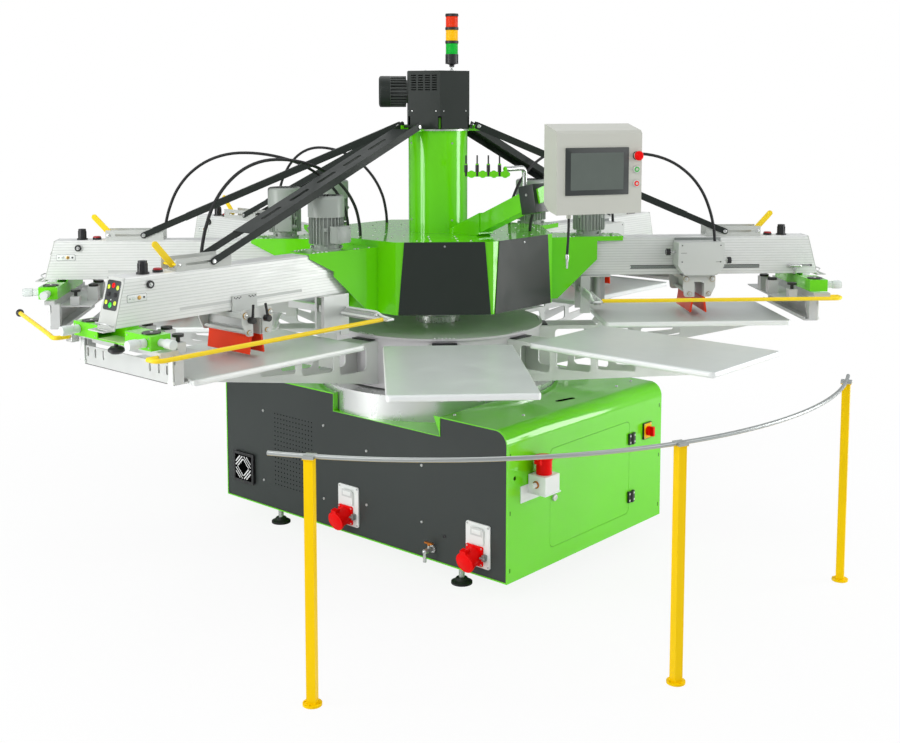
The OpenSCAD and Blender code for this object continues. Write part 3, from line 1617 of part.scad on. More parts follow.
module blade_holder(side) {
    half = blade_l / 2;
    sheet_xz(-half, half) difference() {
        union() {
            polygon([
                [side * holder_x - holder_w / 2, holder_low_z], [side * holder_x + holder_w / 2, holder_low_z],
                [side * holder_x + holder_w / 2, holder_top_z - holder_w / 2],
                [side * holder_x, holder_top_z], [side * holder_x - holder_w / 2, holder_top_z - holder_w / 2]
            ]);
            translate([side * holder_x, holder_top_z - holder_w / 2]) square([holder_w, holder_w], center = true);
        }
        translate([side * (holder_x + holder_w / 2), (holder_low_z + holder_top_z) / 2]) circle(d = holder_w / 2);
    }
}

module carriage_side() {
    difference() {
        rounded([
            [side_tip - rod_d / 2 - side_tip * 2, side_z0 + rod_d], [side_tip - rod_d / 2, side_z0 + rod_d],
            [side_half - rod_d, (side_z0 + side_z1) / 2], [side_half - rod_d, side_z1 - rod_d],
            [rod_d - side_half, side_z1 - rod_d], [rod_d - side_half, (side_z0 + side_z1) / 2]
        ], rod_d);
        translate([-side_window_half, side_z0 - over])
            square([side_window_half * 2, side_window_z1 - side_z0 + over]);
    }
}

module carriage_cover() {
    r = cover_edge_r;
    wide = cover_half - cover_skin;
    narrow = cover_low_half - cover_skin * 2;
    difference() {
        sheet_xz(-cover_y1, -cover_y0) rounded([
            [r - cover_low_half, cover_z0 + r], [cover_low_half - r, cover_z0 + r],
            [cover_half - r, cover_mid_z], [cover_half - r, cover_z1 - r],
            [r - cover_half, cover_z1 - r], [r - cover_half, cover_mid_z]
        ], r);
        sheet_xz(cover_skin - cover_y1, -cover_y0 - cover_skin) polygon([
            [-narrow, cover_z0 - over], [narrow, cover_z0 - over], [wide, cover_mid_z + r],
            [wide, cover_z1 - cover_skin], [-wide, cover_z1 - cover_skin], [-wide, cover_mid_z + r]
        ]);
    }
}

module clamp_lever(x) {
    bar_y(x, rod_high_z - rod_d * 3 / 2, clip_d, side_y + side_t, side_y + side_t + clip_l);
    translate([x, side_y + side_t + clip_l - clip_arm_d, rod_high_z - rod_d * 3 / 2])
        rotate([0, x < 0 ? clip_lean_left : clip_lean_right, 0]) cylinder(h = clip_arm_l, d = clip_arm_d);
}

module carriage() {
    translate([carriage_r, 0, 0]) {
        block([-bridge_half, -cover_y0, guide_slot_z - guide_slot_h / 2 + fit_gap],
              [bridge_half, cover_y0, guide_slot_z - guide_slot_h / 2 + fit_gap + bridge_t]);
        mirrored_y() block([-cheek_half, cheek_y, cross_z1 - cross_h],
                           [cheek_half, cheek_y + cheek_t, guide_slot_z + cross_h]);
        difference() {
            block([-cross_half, -side_y - side_t, cross_z1 - cross_h],
                  [cross_half, side_y + side_t, cross_z1]);
            for (s = [-1, 1]) translate([holder_x, s * pin_y, cross_z1 - cross_h - over])
                cylinder(h = cross_h + over * 2, d = pin_d + fit_gap * 2);
        }
        mirrored_y() {
            sheet_xz(side_y, side_y + side_t) carriage_side();
            for (s = [-1, 1]) {
                bar_y(s * rod_high_x, rod_high_z, bush_d, side_y + side_t - over, side_y + side_t + bush_l);
                bar_y(s * rod_low_x, rod_low_z, bush_d * 3 / 4, side_y + side_t - over, side_y + side_t + bush_l);
            }
        }
        carriage_cover();
        for (s = [-1, 1]) {
            z = s < 0 ? adjust_high_z : adjust_low_z;
            a = cover_half - over;
            b = cover_half + adjust_stem_l;
            bar_x(-adjust_y, z, adjust_stem_d, min(s * a, s * b), max(s * a, s * b));
            bar_x(-adjust_y, z, adjust_d, min(s * b, s * (b + adjust_l)), max(s * b, s * (b + adjust_l)));
            clamp_lever(s * clip_x);
        }
        blade_holder(-1);
        splayed_blade(-1);
        for (s = [-1, 1]) bar_y(s * rod_low_x, rod_low_z, rod_d, -side_y - over, side_y + over);
        block([-holder_x - holder_w / 2, -blade_l / 4, holder_top_z - holder_w / 2],
              [-holder_x + holder_w / 2, blade_l / 4, cross_z1 - cross_h + over]);
    }
}

module squeegee() {
    translate([carriage_r, 0, 0]) {
        blade_holder(1);
        splayed_blade(1);
        for (s = [-1, 1]) translate([holder_x, s * pin_y, holder_top_z - holder_w])
            cylinder(h = pin_top_z - holder_top_z + holder_w, d = pin_d);
    }
}

module head_carriage(i) { color("lightgray") rotate([0, 0, head_angles[i]]) carriage(); }
module head_squeegee(i) { color("orangered") rotate([0, 0, head_angles[i]]) squeegee(); }

// Control panel on its arm

module at_panel() {
    translate(panel_at) rotate([0, 0, panel_yaw]) children();
}

// Side view of the control panel box, its front face on the Z axis
module panel_outline(inset) {
    half = panel_h / 2;
    polygon([
        [-inset, inset - half], [-inset, half - panel_brow_front - inset],
        [-panel_brow_front, half - inset], [inset - panel_d, half + panel_brow - inset],
        [inset - panel_d, panel_cut_back - half + inset],
        [-panel_d * 2 / 3, panel_cut_mid - half + inset]
    ]);
}

module control_panel() {
    half_w = panel_w / 2;
    half_h = panel_h / 2;
    back_x = -panel_d;
    color("silver") at_panel() {
        difference() {
            union() {
                difference() {
                    sheet_xz(-half_w, half_w) panel_outline(0);
                    sheet_xz(panel_skin - half_w, half_w - panel_skin) panel_outline(panel_skin);
                }
                sheet_yz(-panel_skin, bezel_t) translate(bezel_shift) rounded_box2d(bezel_w, bezel_h, bezel_t);
                bar_x(button_y, button_stop_z, stop_base_d, -panel_skin, stop_base_h);
                for (z = [button_start_z, button_reset_z])
                    bar_x(button_y, z, button_d + bezel_t * 2, -panel_skin, bezel_t);
                for (z = pivot_ear_zs) translate([back_x, 0, z]) {
                    block([-pivot_back, -pivot_ear[1] / 2, -pivot_ear[2] / 2],
                          [panel_skin, pivot_ear[1] / 2, pivot_ear[2] / 2]);
                    translate([-pivot_back, 0, -pivot_ear[2] / 2]) cylinder(h = pivot_ear[2], d = pivot_ear[1]);
                }
            }
            for (z = [button_start_z, button_reset_z])
                bar_x(button_y, z, button_d + fit_gap * 2, -button_well, bezel_t + over);
            bar_x(button_y, button_stop_z, button_d + fit_gap * 2, -button_well, stop_base_h + over);
            translate([back_x - pivot_back, 0, -half_h]) cylinder(h = panel_h, d = pivot_d + fit_gap * 2);
            translate([back_x / 3, lead_y / 3, -panel_h])
                cylinder(h = half_h + cable_gland_d, d = cable_gland_d);
        }
        translate([back_x / 3, lead_y, lead_z0])
            cylinder(h = panel_skin - panel_h / 2 - lead_z0 + panel_cut_mid, d = lead_gland_d);
    }
}

// The lead that hangs from the panel's gland, with the connector on its end
module panel_lead() {
    color("black") at_panel() {
        tube(smooth_path(lead_points, 2), lead_d, lead_sides, [0, 0, -1], [0, 0, -1]);
        translate(lead_points[len(lead_points) - 1]) translate([0, 0, -lead_tip_l])
            cylinder(h = lead_tip_l, d1 = lead_tip_d / 2, d2 = lead_tip_d);
    }
}

module emergency_button() {
    stand = stop_base_h + button_travel + fit_gap;
    color("red") at_panel() {
        bar_x(button_y, button_stop_z, button_d, -button_well + button_travel, stand + over);
        translate([stand, button_y, button_stop_z]) rotate([0, 90, 0]) rotate_extrude() polygon([
            [0, 0], [stop_head_d / 2 - over, 0], [stop_head_d / 2, over],
            [stop_head_d / 2, stop_head_h / 2], [stop_head_d / 3, stop_head_h], [0, stop_head_h]
        ]);
    }
}

module push_button(z) {
    at_panel() bar_x(button_y, z, button_d, -button_well + button_travel, button_h);
}

module start_button() { color("green") push_button(button_start_z); }
module reset_button() { color("crimson") push_button(button_reset_z); }

function polar(az, r, off) = [r * cos(az) - off * sin(az), r * sin(az) + off * cos(az)];

pivot_at = [for (i = [0, 1]) panel_at[i]] - polar(panel_yaw, panel_d + pivot_back, 0);
joint_at = polar(arm_angle, joint_r, 0);
tube_at = polar(arm_angle, tube_r, tube_off);

module panel_arm() {
    link = pivot_at - joint_at;
    boss_z0 = panel_at[2] + pivot_ear_zs[0] + pivot_ear[2] / 2 + fit_gap;
    boss_z1 = panel_at[2] + pivot_ear_zs[1] - pivot_ear[2] / 2 - fit_gap;
    link_z = (boss_z0 + boss_z1) / 2;
    color("limegreen") {
        difference() {
            rotate([0, 0, arm_angle]) {
                translate([arm_end_r, 0, arm_end_z]) rotate([0, -arm_rise_angle, 0])
                    translate([-arm_end_r, -arm_w / 2, -arm_h / 2]) cube([arm_end_r, arm_w, arm_h]);
                intersection() {
                    translate([arm_end_r, 0, arm_end_z]) rotate([0, -arm_rise_angle, 0])
                        translate([-arm_end_r, -arm_w / 2 - arm_cover_t, -arm_h / 2 - arm_cover_t])
                            cube([arm_end_r, arm_w + arm_cover_t * 2, arm_h + arm_cover_t * 2]);
                    translate([0, -arm_w, hub_z1]) cube([arm_cover_r, arm_w * 2, arm_w * 2]);
                }
            }
            translate([0, 0, hub_z1 - arm_h]) cylinder(h = arm_h * 5, r = column_r + fit_gap, $fn = 96);
            rotate([0, 0, arm_angle]) translate([-arm_end_r, -arm_w, hub_z1 - arm_h * 5])
                cube([arm_end_r * 2, arm_w * 2, arm_h * 5]);
            rotate([0, 0, arm_angle]) translate([-arm_end_r, -arm_w, 0])
                cube([arm_end_r, arm_w * 2, tube_z]);
        }
        translate([joint_at[0], joint_at[1], joint_z]) rotate([0, -joint_lean_angle, arm_angle])
            cube(joint_box, center = true);
        translate([pivot_at[0], pivot_at[1], link_z]) rotate([0, 0, atan2(link[1], link[0])])
            rotate([0, -atan2(link_z - joint_z, norm(link)), 0])
                translate([-norm(link), -link_w / 2, -link_h / 2]) cube([norm(link) - pivot_d, link_w, link_h]);
        translate([pivot_at[0], pivot_at[1], boss_z0]) cylinder(h = boss_z1 - boss_z0, d = link_w);
        translate([pivot_at[0], pivot_at[1], boss_z0 - pivot_ear[2]])
            cylinder(h = boss_z1 - boss_z0 + pivot_ear[2] * 2, d = pivot_d);
    }
}

// Bent tube with a strip that holds the hexagon drivers
module tool_rack() {
    foot_z = joint_z + joint_box[2] / 3;
    color("yellowgreen") {
        difference() {
            translate([tube_at[0], tube_at[1], foot_z])
                cylinder(h = tube_z - foot_z - tube_bend_r, d = tube_d);
            translate([joint_at[0], joint_at[1], joint_z]) rotate([0, -joint_lean_angle, arm_angle])
                cube(joint_box, center = true);
        }
        translate([tube_at[0], tube_at[1] - tube_bend_r, tube_z - tube_bend_r]) rotate([90, 0, 90])
            rotate_extrude(angle = 90) translate([tube_bend_r, 0]) circle(d = tube_d);
        translate([tube_at[0], tube_at[1] - tube_bend_r, tube_z]) rotate([90, 0, 0])
            cylinder(h = tube_reach - tube_bend_r, d = tube_d);
        translate([tube_at[0], tube_at[1] - tube_reach, strip_z]) rotate([0, 0, strip_angle]) {
            sheet_xz(-strip_t / 2, strip_t / 2) {
                rounded([[strip_h / 3 - strip_back, 0], [strip_l - strip_back, 0]], strip_h / 3);
                for (i = [0:driver_count - 1]) translate([i * driver_pitch, 0]) circle(d = strip_h);
            }
            for (i = [0:driver_count - 1]) translate([(i + 1 / 2) * driver_pitch, 0, -driver_low]) {
                cylinder(h = driver_grip_l, d = driver_grip_d);
                translate([0, 0, driver_grip_l - over]) cylinder(h = driver_l + over, d = driver_d, $fn = 6);
            }
        }
    }
}

// Guard rail on the floor round the loading side

module guard_rail() {
    color("gold") {
        for (a = guard_angles) rotate([0, 0, a]) translate([guard_r, 0, 0]) {
            difference() {
                cylinder(h = guard_flange_t, d = guard_flange_d);
                for (i = [0:3]) rotate([0, 0, i * 90]) translate([guard_bolt_pcd / 2, 0, -over])
                    cylinder(h = guard_flange_t + over * 2, d = guard_bolt_d);
            }
            translate([-guard_post_w / 2, -guard_post_w / 2, 0]) cube([guard_post_w, guard_post_w, guard_h]);
            translate([-guard_clamp[0] / 2, -guard_clamp[1] / 2, guard_h - over]) cube(guard_clamp);
        }
        translate([0, 0, guard_h + guard_clamp[2] / 2]) rotate([0, 0, guard_from_angle])
            rotate_extrude(angle = guard_to_angle - guard_from_angle, $fn = 96)
                translate([guard_r, 0]) circle(d = guard_tube_d);
    }
}

base_shell();
dark_panels();
levelling_feet();
pedestal();
index_drive();
control_gear();
end_fittings();
hub_housing();
column_tube();
top_shroud();
lift_motor();
light_tower();
lamp_lenses();
head_brackets();
head_beams();
head_plates();
head_motors();
tie_bars();
lock_levers();
machine_knobs();
stop_buttons();
frame_holders();
registration_knobs();
frame_clamps();
fan_grille();
socket_boxes();
socket_shells();
tap_body();
panel_arm();
tool_rack();
guard_rail();
safety_bars();
hoses();
lift_sleeve();
turntable();
pallet_arms();
pallets();
head_carriage(0);  // carriage_1
head_carriage(1);  // carriage_2
head_carriage(2);  // carriage_3
head_carriage(3);  // carriage_4
head_carriage(4);  // carriage_5
head_carriage(5);  // carriage_6
head_squeegee(0);  // squeegee_1
head_squeegee(1);  // squeegee_2
head_squeegee(2);  // squeegee_3
head_squeegee(3);  // squeegee_4
head_squeegee(4);  // squeegee_5
head_squeegee(5);  // squeegee_6
control_panel();
panel_lead();
emergency_button();
start_button();
reset_button();
switch_knob();
cabinet_door();
socket_lid_1();
socket_lid_2();
socket_lid_3();
tap_handle();
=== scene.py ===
import json
import math

import bmesh
import bpy
from mathutils import Matrix, Vector


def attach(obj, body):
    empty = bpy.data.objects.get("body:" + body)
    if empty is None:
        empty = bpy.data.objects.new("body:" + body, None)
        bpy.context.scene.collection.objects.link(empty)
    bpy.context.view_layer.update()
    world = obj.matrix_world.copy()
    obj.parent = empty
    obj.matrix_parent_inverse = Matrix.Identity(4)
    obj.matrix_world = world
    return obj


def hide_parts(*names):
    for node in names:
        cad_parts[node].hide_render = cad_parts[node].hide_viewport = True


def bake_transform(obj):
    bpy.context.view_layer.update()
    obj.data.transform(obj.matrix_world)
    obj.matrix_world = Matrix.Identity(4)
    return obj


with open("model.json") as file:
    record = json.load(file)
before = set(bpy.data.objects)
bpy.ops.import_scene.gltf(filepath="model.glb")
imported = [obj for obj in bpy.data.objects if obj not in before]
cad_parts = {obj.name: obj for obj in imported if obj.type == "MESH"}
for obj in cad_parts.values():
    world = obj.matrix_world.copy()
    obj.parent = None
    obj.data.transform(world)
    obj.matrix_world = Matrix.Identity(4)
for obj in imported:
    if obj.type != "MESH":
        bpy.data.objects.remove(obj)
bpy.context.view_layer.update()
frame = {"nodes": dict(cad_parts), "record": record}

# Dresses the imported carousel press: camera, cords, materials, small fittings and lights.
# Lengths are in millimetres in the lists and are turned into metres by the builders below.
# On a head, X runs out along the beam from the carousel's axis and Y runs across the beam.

scene = bpy.context.scene
MM = 0.001
BACKGROUND = (1, 1, 1, 1)
PLUS_X, PLUS_Y, PLUS_Z = (1, 0, 0), (0, 1, 0), (0, 0, 1)
MINUS_X, MINUS_Y, MINUS_Z = (-1, 0, 0), (0, -1, 0), (0, 0, -1)


# Places

def turn(degrees):
    """A turn about the upright axis."""
    return Matrix.Rotation(math.radians(degrees), 4, "Z")


def lean(degrees, axis):
    """A turn about one named axis."""
    return Matrix.Rotation(math.radians(degrees), 4, axis)


def shift(x, y, z):
    """A place moved by millimetres."""
    return Matrix.Translation(Vector((x, y, z)) * MM)


def facing(x, y, z, direction):
    """A place at a point in millimetres whose own Z axis looks along a direction."""
    return shift(x, y, z) @ Vector(direction).to_track_quat("Z", "Y").to_matrix().to_4x4()


def face_place(origin, across, up):
    """A place whose X runs across, Y runs up and Z looks out of a face."""
    across, up = Vector(across).normalized(), Vector(up).normalized()
    return shift(*origin) @ Matrix((across, up, across.cross(up))).transposed().to_4x4()


# Places of whole nodes
AXIS = Matrix()
PANEL = shift(1030, -150, 1764) @ turn(-28)
TOWER = shift(49, 44, 0)
# Angles of the heads and the pallets about the carousel's axis
HEADS = [45, 90, 135, 180, 225, 270]
PALLETS = range(0, 360, 45)
# Faces, heights and radii that the fittings sit on
FRONT_Y, REAR_Y, END_X, TOP_Z = -580, 580, 895, 733
HINGE_Z = (246, 518)
SOCKET_X, SOCKET_Y, SOCKET_Z = (-25, 743), -586, 228
SHELL_X, SHELL_Z = [x - 14 for x in SOCKET_X], 184
HUB_TOP, BRACKET_TOP, SHROUD_TOP = 1443, 1414, 2196
BEAM_TOP, BEAM_END, BEAM_SIDE = 1408, 1788, 55
END_LEAN, END_HEIGHT, END_PLATE = 48, 182, 4.2
SLANT = math.atan2(END_LEAN, END_HEIGHT)
MOTOR_R, CARRIAGE_R, STOP_R, KNOB_R, LOCK_R = 727, 1236, 1606, 1674, 1682
CHEEK_Y, COVER_Y = 142.5, -172
ADJUSTERS = ((-1, 1342), (1, 1300))
HOLDER_FACE = 1820


# Camera

def make_camera():
    """The photograph's point of view, in metres."""
    data = bpy.data.cameras.new("camera")
    camera = bpy.data.objects.new("camera", data)
    scene.collection.objects.link(camera)
    yaw, pitch = math.radians(131.283), math.radians(5.91)
    look = Vector((math.cos(pitch) * math.cos(yaw), math.cos(pitch) * math.sin(yaw), -math.sin(pitch)))
    camera.location = (3.9421, -4.4032, 2.0656)
    camera.rotation_euler = look.to_track_quat("-Z", "Y").to_euler()
    data.sensor_width = 36
    data.lens = 49.68
    data.shift_y = -0.16
    data.clip_end = 200
    scene.camera = camera


# Nodes and node groups

def fill(tree, socket, value):
    """Links a socket to an output, or sets it to a plain value."""
    if hasattr(value, "is_output"):
        tree.links.new(value, socket)
    else:
        socket.default_value = value


def add_math(tree, operation, *values):
    """A Math node on outputs or plain numbers."""
    node = tree.nodes.new("ShaderNodeMath")
    node.operation = operation
    for socket, value in zip(node.inputs, values):
        fill(tree, socket, value)
    return node.outputs[0]


def add_spread(tree, value, **limits):
    """A Map Range node with the named limits."""
    node = tree.nodes.new("ShaderNodeMapRange")
    tree.links.new(value, node.inputs["Value"])
    for label, limit in limits.items():
        fill(tree, node.inputs[label.replace("_", " ")], limit)
    return node


def upward(tree, vector):
    """The height part of a vector."""
    split = tree.nodes.new("ShaderNodeSeparateXYZ")
    tree.links.new(vector, split.inputs["Vector"])
    return split.outputs["Z"]


def new_group(name, inputs, output, kind):
    """A node group with a vector, named inputs with their defaults, and one output."""
    group = bpy.data.node_groups.new(name, "ShaderNodeTree")
    kinds = {"value": "NodeSocketFloat", "colour": "NodeSocketColor", "vector": "NodeSocketVector"}
    group.interface.new_socket("Vector", in_out="INPUT", socket_type=kinds["vector"])
    for label, default in inputs.items():
        socket_type = kinds["colour" if label == "Color" else "value"]
        group.interface.new_socket(label, in_out="INPUT", socket_type=socket_type).default_value = default
    group.interface.new_socket(output, in_out="OUTPUT", socket_type=kinds[kind])
    return group, group.nodes.new("NodeGroupInput").outputs, group.nodes.new("NodeGroupOutput").inputs[output]


def noise_in(group, entry, detail):
    """Noise that follows the group's own vector and scale."""
    noise = group.nodes.new("ShaderNodeTexNoise")
    noise.inputs["Detail"].default_value = detail
    noise.inputs["Roughness"].default_value = 0.55
    group.links.new(entry["Vector"], noise.inputs["Vector"])
    group.links.new(entry["Scale"], noise.inputs["Scale"])
    return noise.outputs["Fac"]


def drift_group():
    """Spreads a value between two limits with soft noise."""
    group, entry, leave = new_group("value_drift", {"Scale": 5.0, "Low": 0.0, "High": 1.0}, "Value", "value")
    spread = add_spread(group, noise_in(group, entry, 4), From_Min=0.3, From_Max=0.7,
                        To_Min=entry["Low"], To_Max=entry["High"])
    group.links.new(spread.outputs["Result"], leave)
    return group


def tint_group():
    """Lightens and darkens a colour a little across the surface."""
    inputs = {"Scale": 3.0, "Color": (0.5, 0.5, 0.5, 1), "Amount": 0.05}
    group, entry, leave = new_group("colour_drift", inputs, "Color", "colour")
    centred = add_math(group, "SUBTRACT", noise_in(group, entry, 5), 0.5)
    scale = group.nodes.new("ShaderNodeVectorMath")
    scale.operation = "SCALE"
    group.links.new(entry["Color"], scale.inputs[0])
    group.links.new(add_math(group, "MULTIPLY_ADD", centred, entry["Amount"], 1.0), scale.inputs["Scale"])
    group.links.new(scale.outputs["Vector"], leave)
    return group


def grain_group():
    """A bumped normal from fine noise, as orange peel, cast skin or brushing."""
    inputs = {"Scale": 500.0, "Strength": 0.1, "Distance": 0.001}
    group, entry, leave = new_group("grain_normal", inputs, "Normal", "vector")
    bump = group.nodes.new("ShaderNodeBump")
    group.links.new(noise_in(group, entry, 3), bump.inputs["Height"])
    group.links.new(entry["Strength"], bump.inputs["Strength"])
    group.links.new(entry["Distance"], bump.inputs["Distance"])
    group.links.new(bump.outputs["Normal"], leave)
    return group


def band_group():
    """A mask that is one where a height lies between two limits."""
    group, entry, leave = new_group("height_band", {"Low": 0.0, "High": 1.0}, "Mask", "value")
    height = upward(group, entry["Vector"])
    above = add_math(group, "GREATER_THAN", height, entry["Low"])
    below = add_math(group, "LESS_THAN", height, entry["High"])
    group.links.new(add_math(group, "MULTIPLY", above, below), leave)
    return group


def groove_shade_group():
    """A mask that is one on level lines repeated at a pitch, each a share of the pitch high; it marks where
    shade is painted into the grooves between ribs.
    """
    inputs = {"Start": 0.0, "Pitch": 0.01, "Share": 0.3}
    group, entry, leave = new_group("groove_shade_bands", inputs, "Mask", "value")
    height = add_math(group, "SUBTRACT", upward(group, entry["Vector"]), entry["Start"])
    place = add_math(group, "FRACT", add_math(group, "DIVIDE", height, entry["Pitch"]))
    group.links.new(add_math(group, "LESS_THAN", place, entry["Share"]), leave)
    return group


GROUPS = {"drift": drift_group(), "tint": tint_group(), "grain": grain_group(), "band": band_group(),
          "rib": groove_shade_group()}


# Materials

def srgb(r, g, b):
    """A display colour as linear light."""
    def linear(c):
        c /= 255
        return c / 12.92 if c <= 0.04045 else ((c + 0.055) / 1.055) ** 2.4
    return (linear(r), linear(g), linear(b), 1)


class Surface:
    """A material with object coordinates, in metres, ready to take shared effects."""

    def __init__(self, name, colour):
        self.material = bpy.data.materials.new(name)
        self.material.use_nodes = True
        self.material.diffuse_color = colour
        self.tree = self.material.node_tree
        self.shader = self.tree.nodes["Principled BSDF"]
        coordinates = self.tree.nodes.new("ShaderNodeTexCoord")
        self.vector, self.normal = coordinates.outputs["Object"], coordinates.outputs["Normal"]

    def set(self, **values):
        for label, value in values.items():
            self.shader.inputs[label.replace("_", " ")].default_value = value

    def feed(self, label, output):
        self.tree.links.new(output, self.shader.inputs[label])

    def group(self, key, vector=None, **values):
        node = self.tree.nodes.new("ShaderNodeGroup")
        node.node_tree = GROUPS[key]
        self.tree.links.new(vector or self.vector, node.inputs["Vector"])
        for label, value in values.items():
            node.inputs[label].default_value = value
        return node.outputs[0]

    def stretched(self, factors):
        node = self.tree.nodes.new("ShaderNodeVectorMath")
        node.operation = "MULTIPLY"
        node.inputs[1].default_value = factors
        self.tree.links.new(self.vector, node.inputs[0])
        return node.outputs[0]

    def tint(self, colour, scale, amount, vector=None):
        return self.group("tint", vector, Scale=scale, Color=colour, Amount=amount)

    def finish(self, colour, drift, rough, rough_scale, grain, vector=None):
        """Drifting colour and roughness over a grain of (scale, strength, distance)."""
        if drift:
            self.feed("Base Color", self.tint(colour, *drift, vector))
        self.feed("Roughness", self.group("drift", vector, Scale=rough_scale, Low=rough[0], High=rough[1]))
        scale, strength, distance = grain
        self.feed("Normal", self.group("grain", vector, Scale=scale, Strength=strength, Distance=distance))

    def mix(self, mask, first, second):
        """Mixes two colours by a mask, at the colour sockets of the node."""
        node = self.tree.nodes.new("ShaderNodeMix")
        node.data_type = "RGBA"
        self.tree.links.new(mask, node.inputs["Factor"])
        fill(self.tree, node.inputs[6], first)
        fill(self.tree, node.inputs[7], second)
        return node.outputs[2]


def paint(name, colour, rough=(0.3, 0.42), peel=0.06, coat=0.25, specular=0.5, gloss=0.14):
    """Sprayed paint with faint orange peel under a thin clear coat."""
    s = Surface(name, colour)
    s.finish(colour, (2.5, 0.1), rough, 9, (420, peel, 0.0004))
    s.set(Coat_Weight=coat, Coat_Roughness=gloss, Specular_IOR_Level=specular)
    return s.material


def metal(name, colour, rough=(0.25, 0.4), metallic=0.9, scale=60, grain=0.05, stretch=None):
    """Bare or anodised metal; stretch draws its grain out one way."""
    s = Surface(name, colour)
    vector = s.stretched(stretch) if stretch else None
    s.finish(colour, (6, 0.12), rough, scale / 3, (scale * 6, grain, 0.0004), vector)
    s.set(Metallic=metallic)
    return s.material


def plastic(name, colour, rough=(0.3, 0.45), grain=0.05, specular=0.5):
    """Moulded plastic with a fine skin."""
    s = Surface(name, colour)
    s.finish(colour, (14, 0.12), rough, 40, (900, grain, 0.0003))
    s.set(Specular_IOR_Level=specular)
    return s.material


def rubber(name, colour):
    """Dull rubber with a coarse skin."""
    s = Surface(name, colour)
    s.finish(colour, (20, 0.3), (0.5, 0.7), 30, (700, 0.12, 0.0004))
    return s.material


def two_tone(name, outside, inside, band, metallic_inside=0.0, specular=0.5):
    """Paint below and above a band of heights, and another finish inside it."""
    s = Surface(name, outside)
    mask = s.group("band", Low=band[0], High=band[1])
    s.feed("Base Color", s.mix(mask, s.tint(outside, 4, 0.1), s.tint(inside, 9, 0.1)))
    if metallic_inside:
        s.feed("Metallic", add_math(s.tree, "MULTIPLY", mask, metallic_inside))
    s.finish(None, None, (0.28, 0.4), 12, (420, 0.05, 0.0004))
    s.set(Specular_IOR_Level=specular)
    return s.material


def pallet_metal(name, face):
    """Satin face with a painted highlight: surfaces that do not face up, the rolled rim among them, are
    painted near-white.
    """
    s = Surface(name, face)
    # Surfaces that do not face up take near-white: a painted highlight on the rim and sides.
    rim = add_math(s.tree, "LESS_THAN", upward(s.tree, s.normal), 0.8)
    s.feed("Base Color", s.mix(rim, s.tint(face, 6, 0.1), srgb(240, 243, 241)))
    s.finish(None, None, (0.3, 0.4), 10, (180, 0.04, 0.0004))
    s.set(Metallic=0.2)
    return s.material


def lamp(name, colour):
    """A coloured lens that glows faintly."""
    s = Surface(name, colour)
    s.finish(colour, (30, 0.06), (0.16, 0.24), 40, (300, 0.01, 0.0004))
    s.set(Specular_IOR_Level=0.3, IOR=1.49, Emission_Color=colour, Emission_Strength=0.12)
    return s.material


def beam_metal(name, colour):
    """Anodised extrusion: fine drawn lines along the beam, which every height crosses, and darker level bands
    at the ribs' pitch, painted shade in the grooves between the ribs.
    """
    s = Surface(name, colour)
    drawn = s.stretched((0.15, 0.15, 1))
    # The level bands take a darker grey: painted shade in the grooves between the ribs.
    lines = s.group("rib", Start=1.288, Pitch=0.0125, Share=0.26)
    s.feed("Base Color", s.mix(lines, s.tint(colour, 160, 0.12, drawn), srgb(214, 217, 213)))
    s.finish(None, None, (0.28, 0.42), 60, (700, 0.12, 0.0005), drawn)
    s.set(Metallic=0.15)
    return s.material


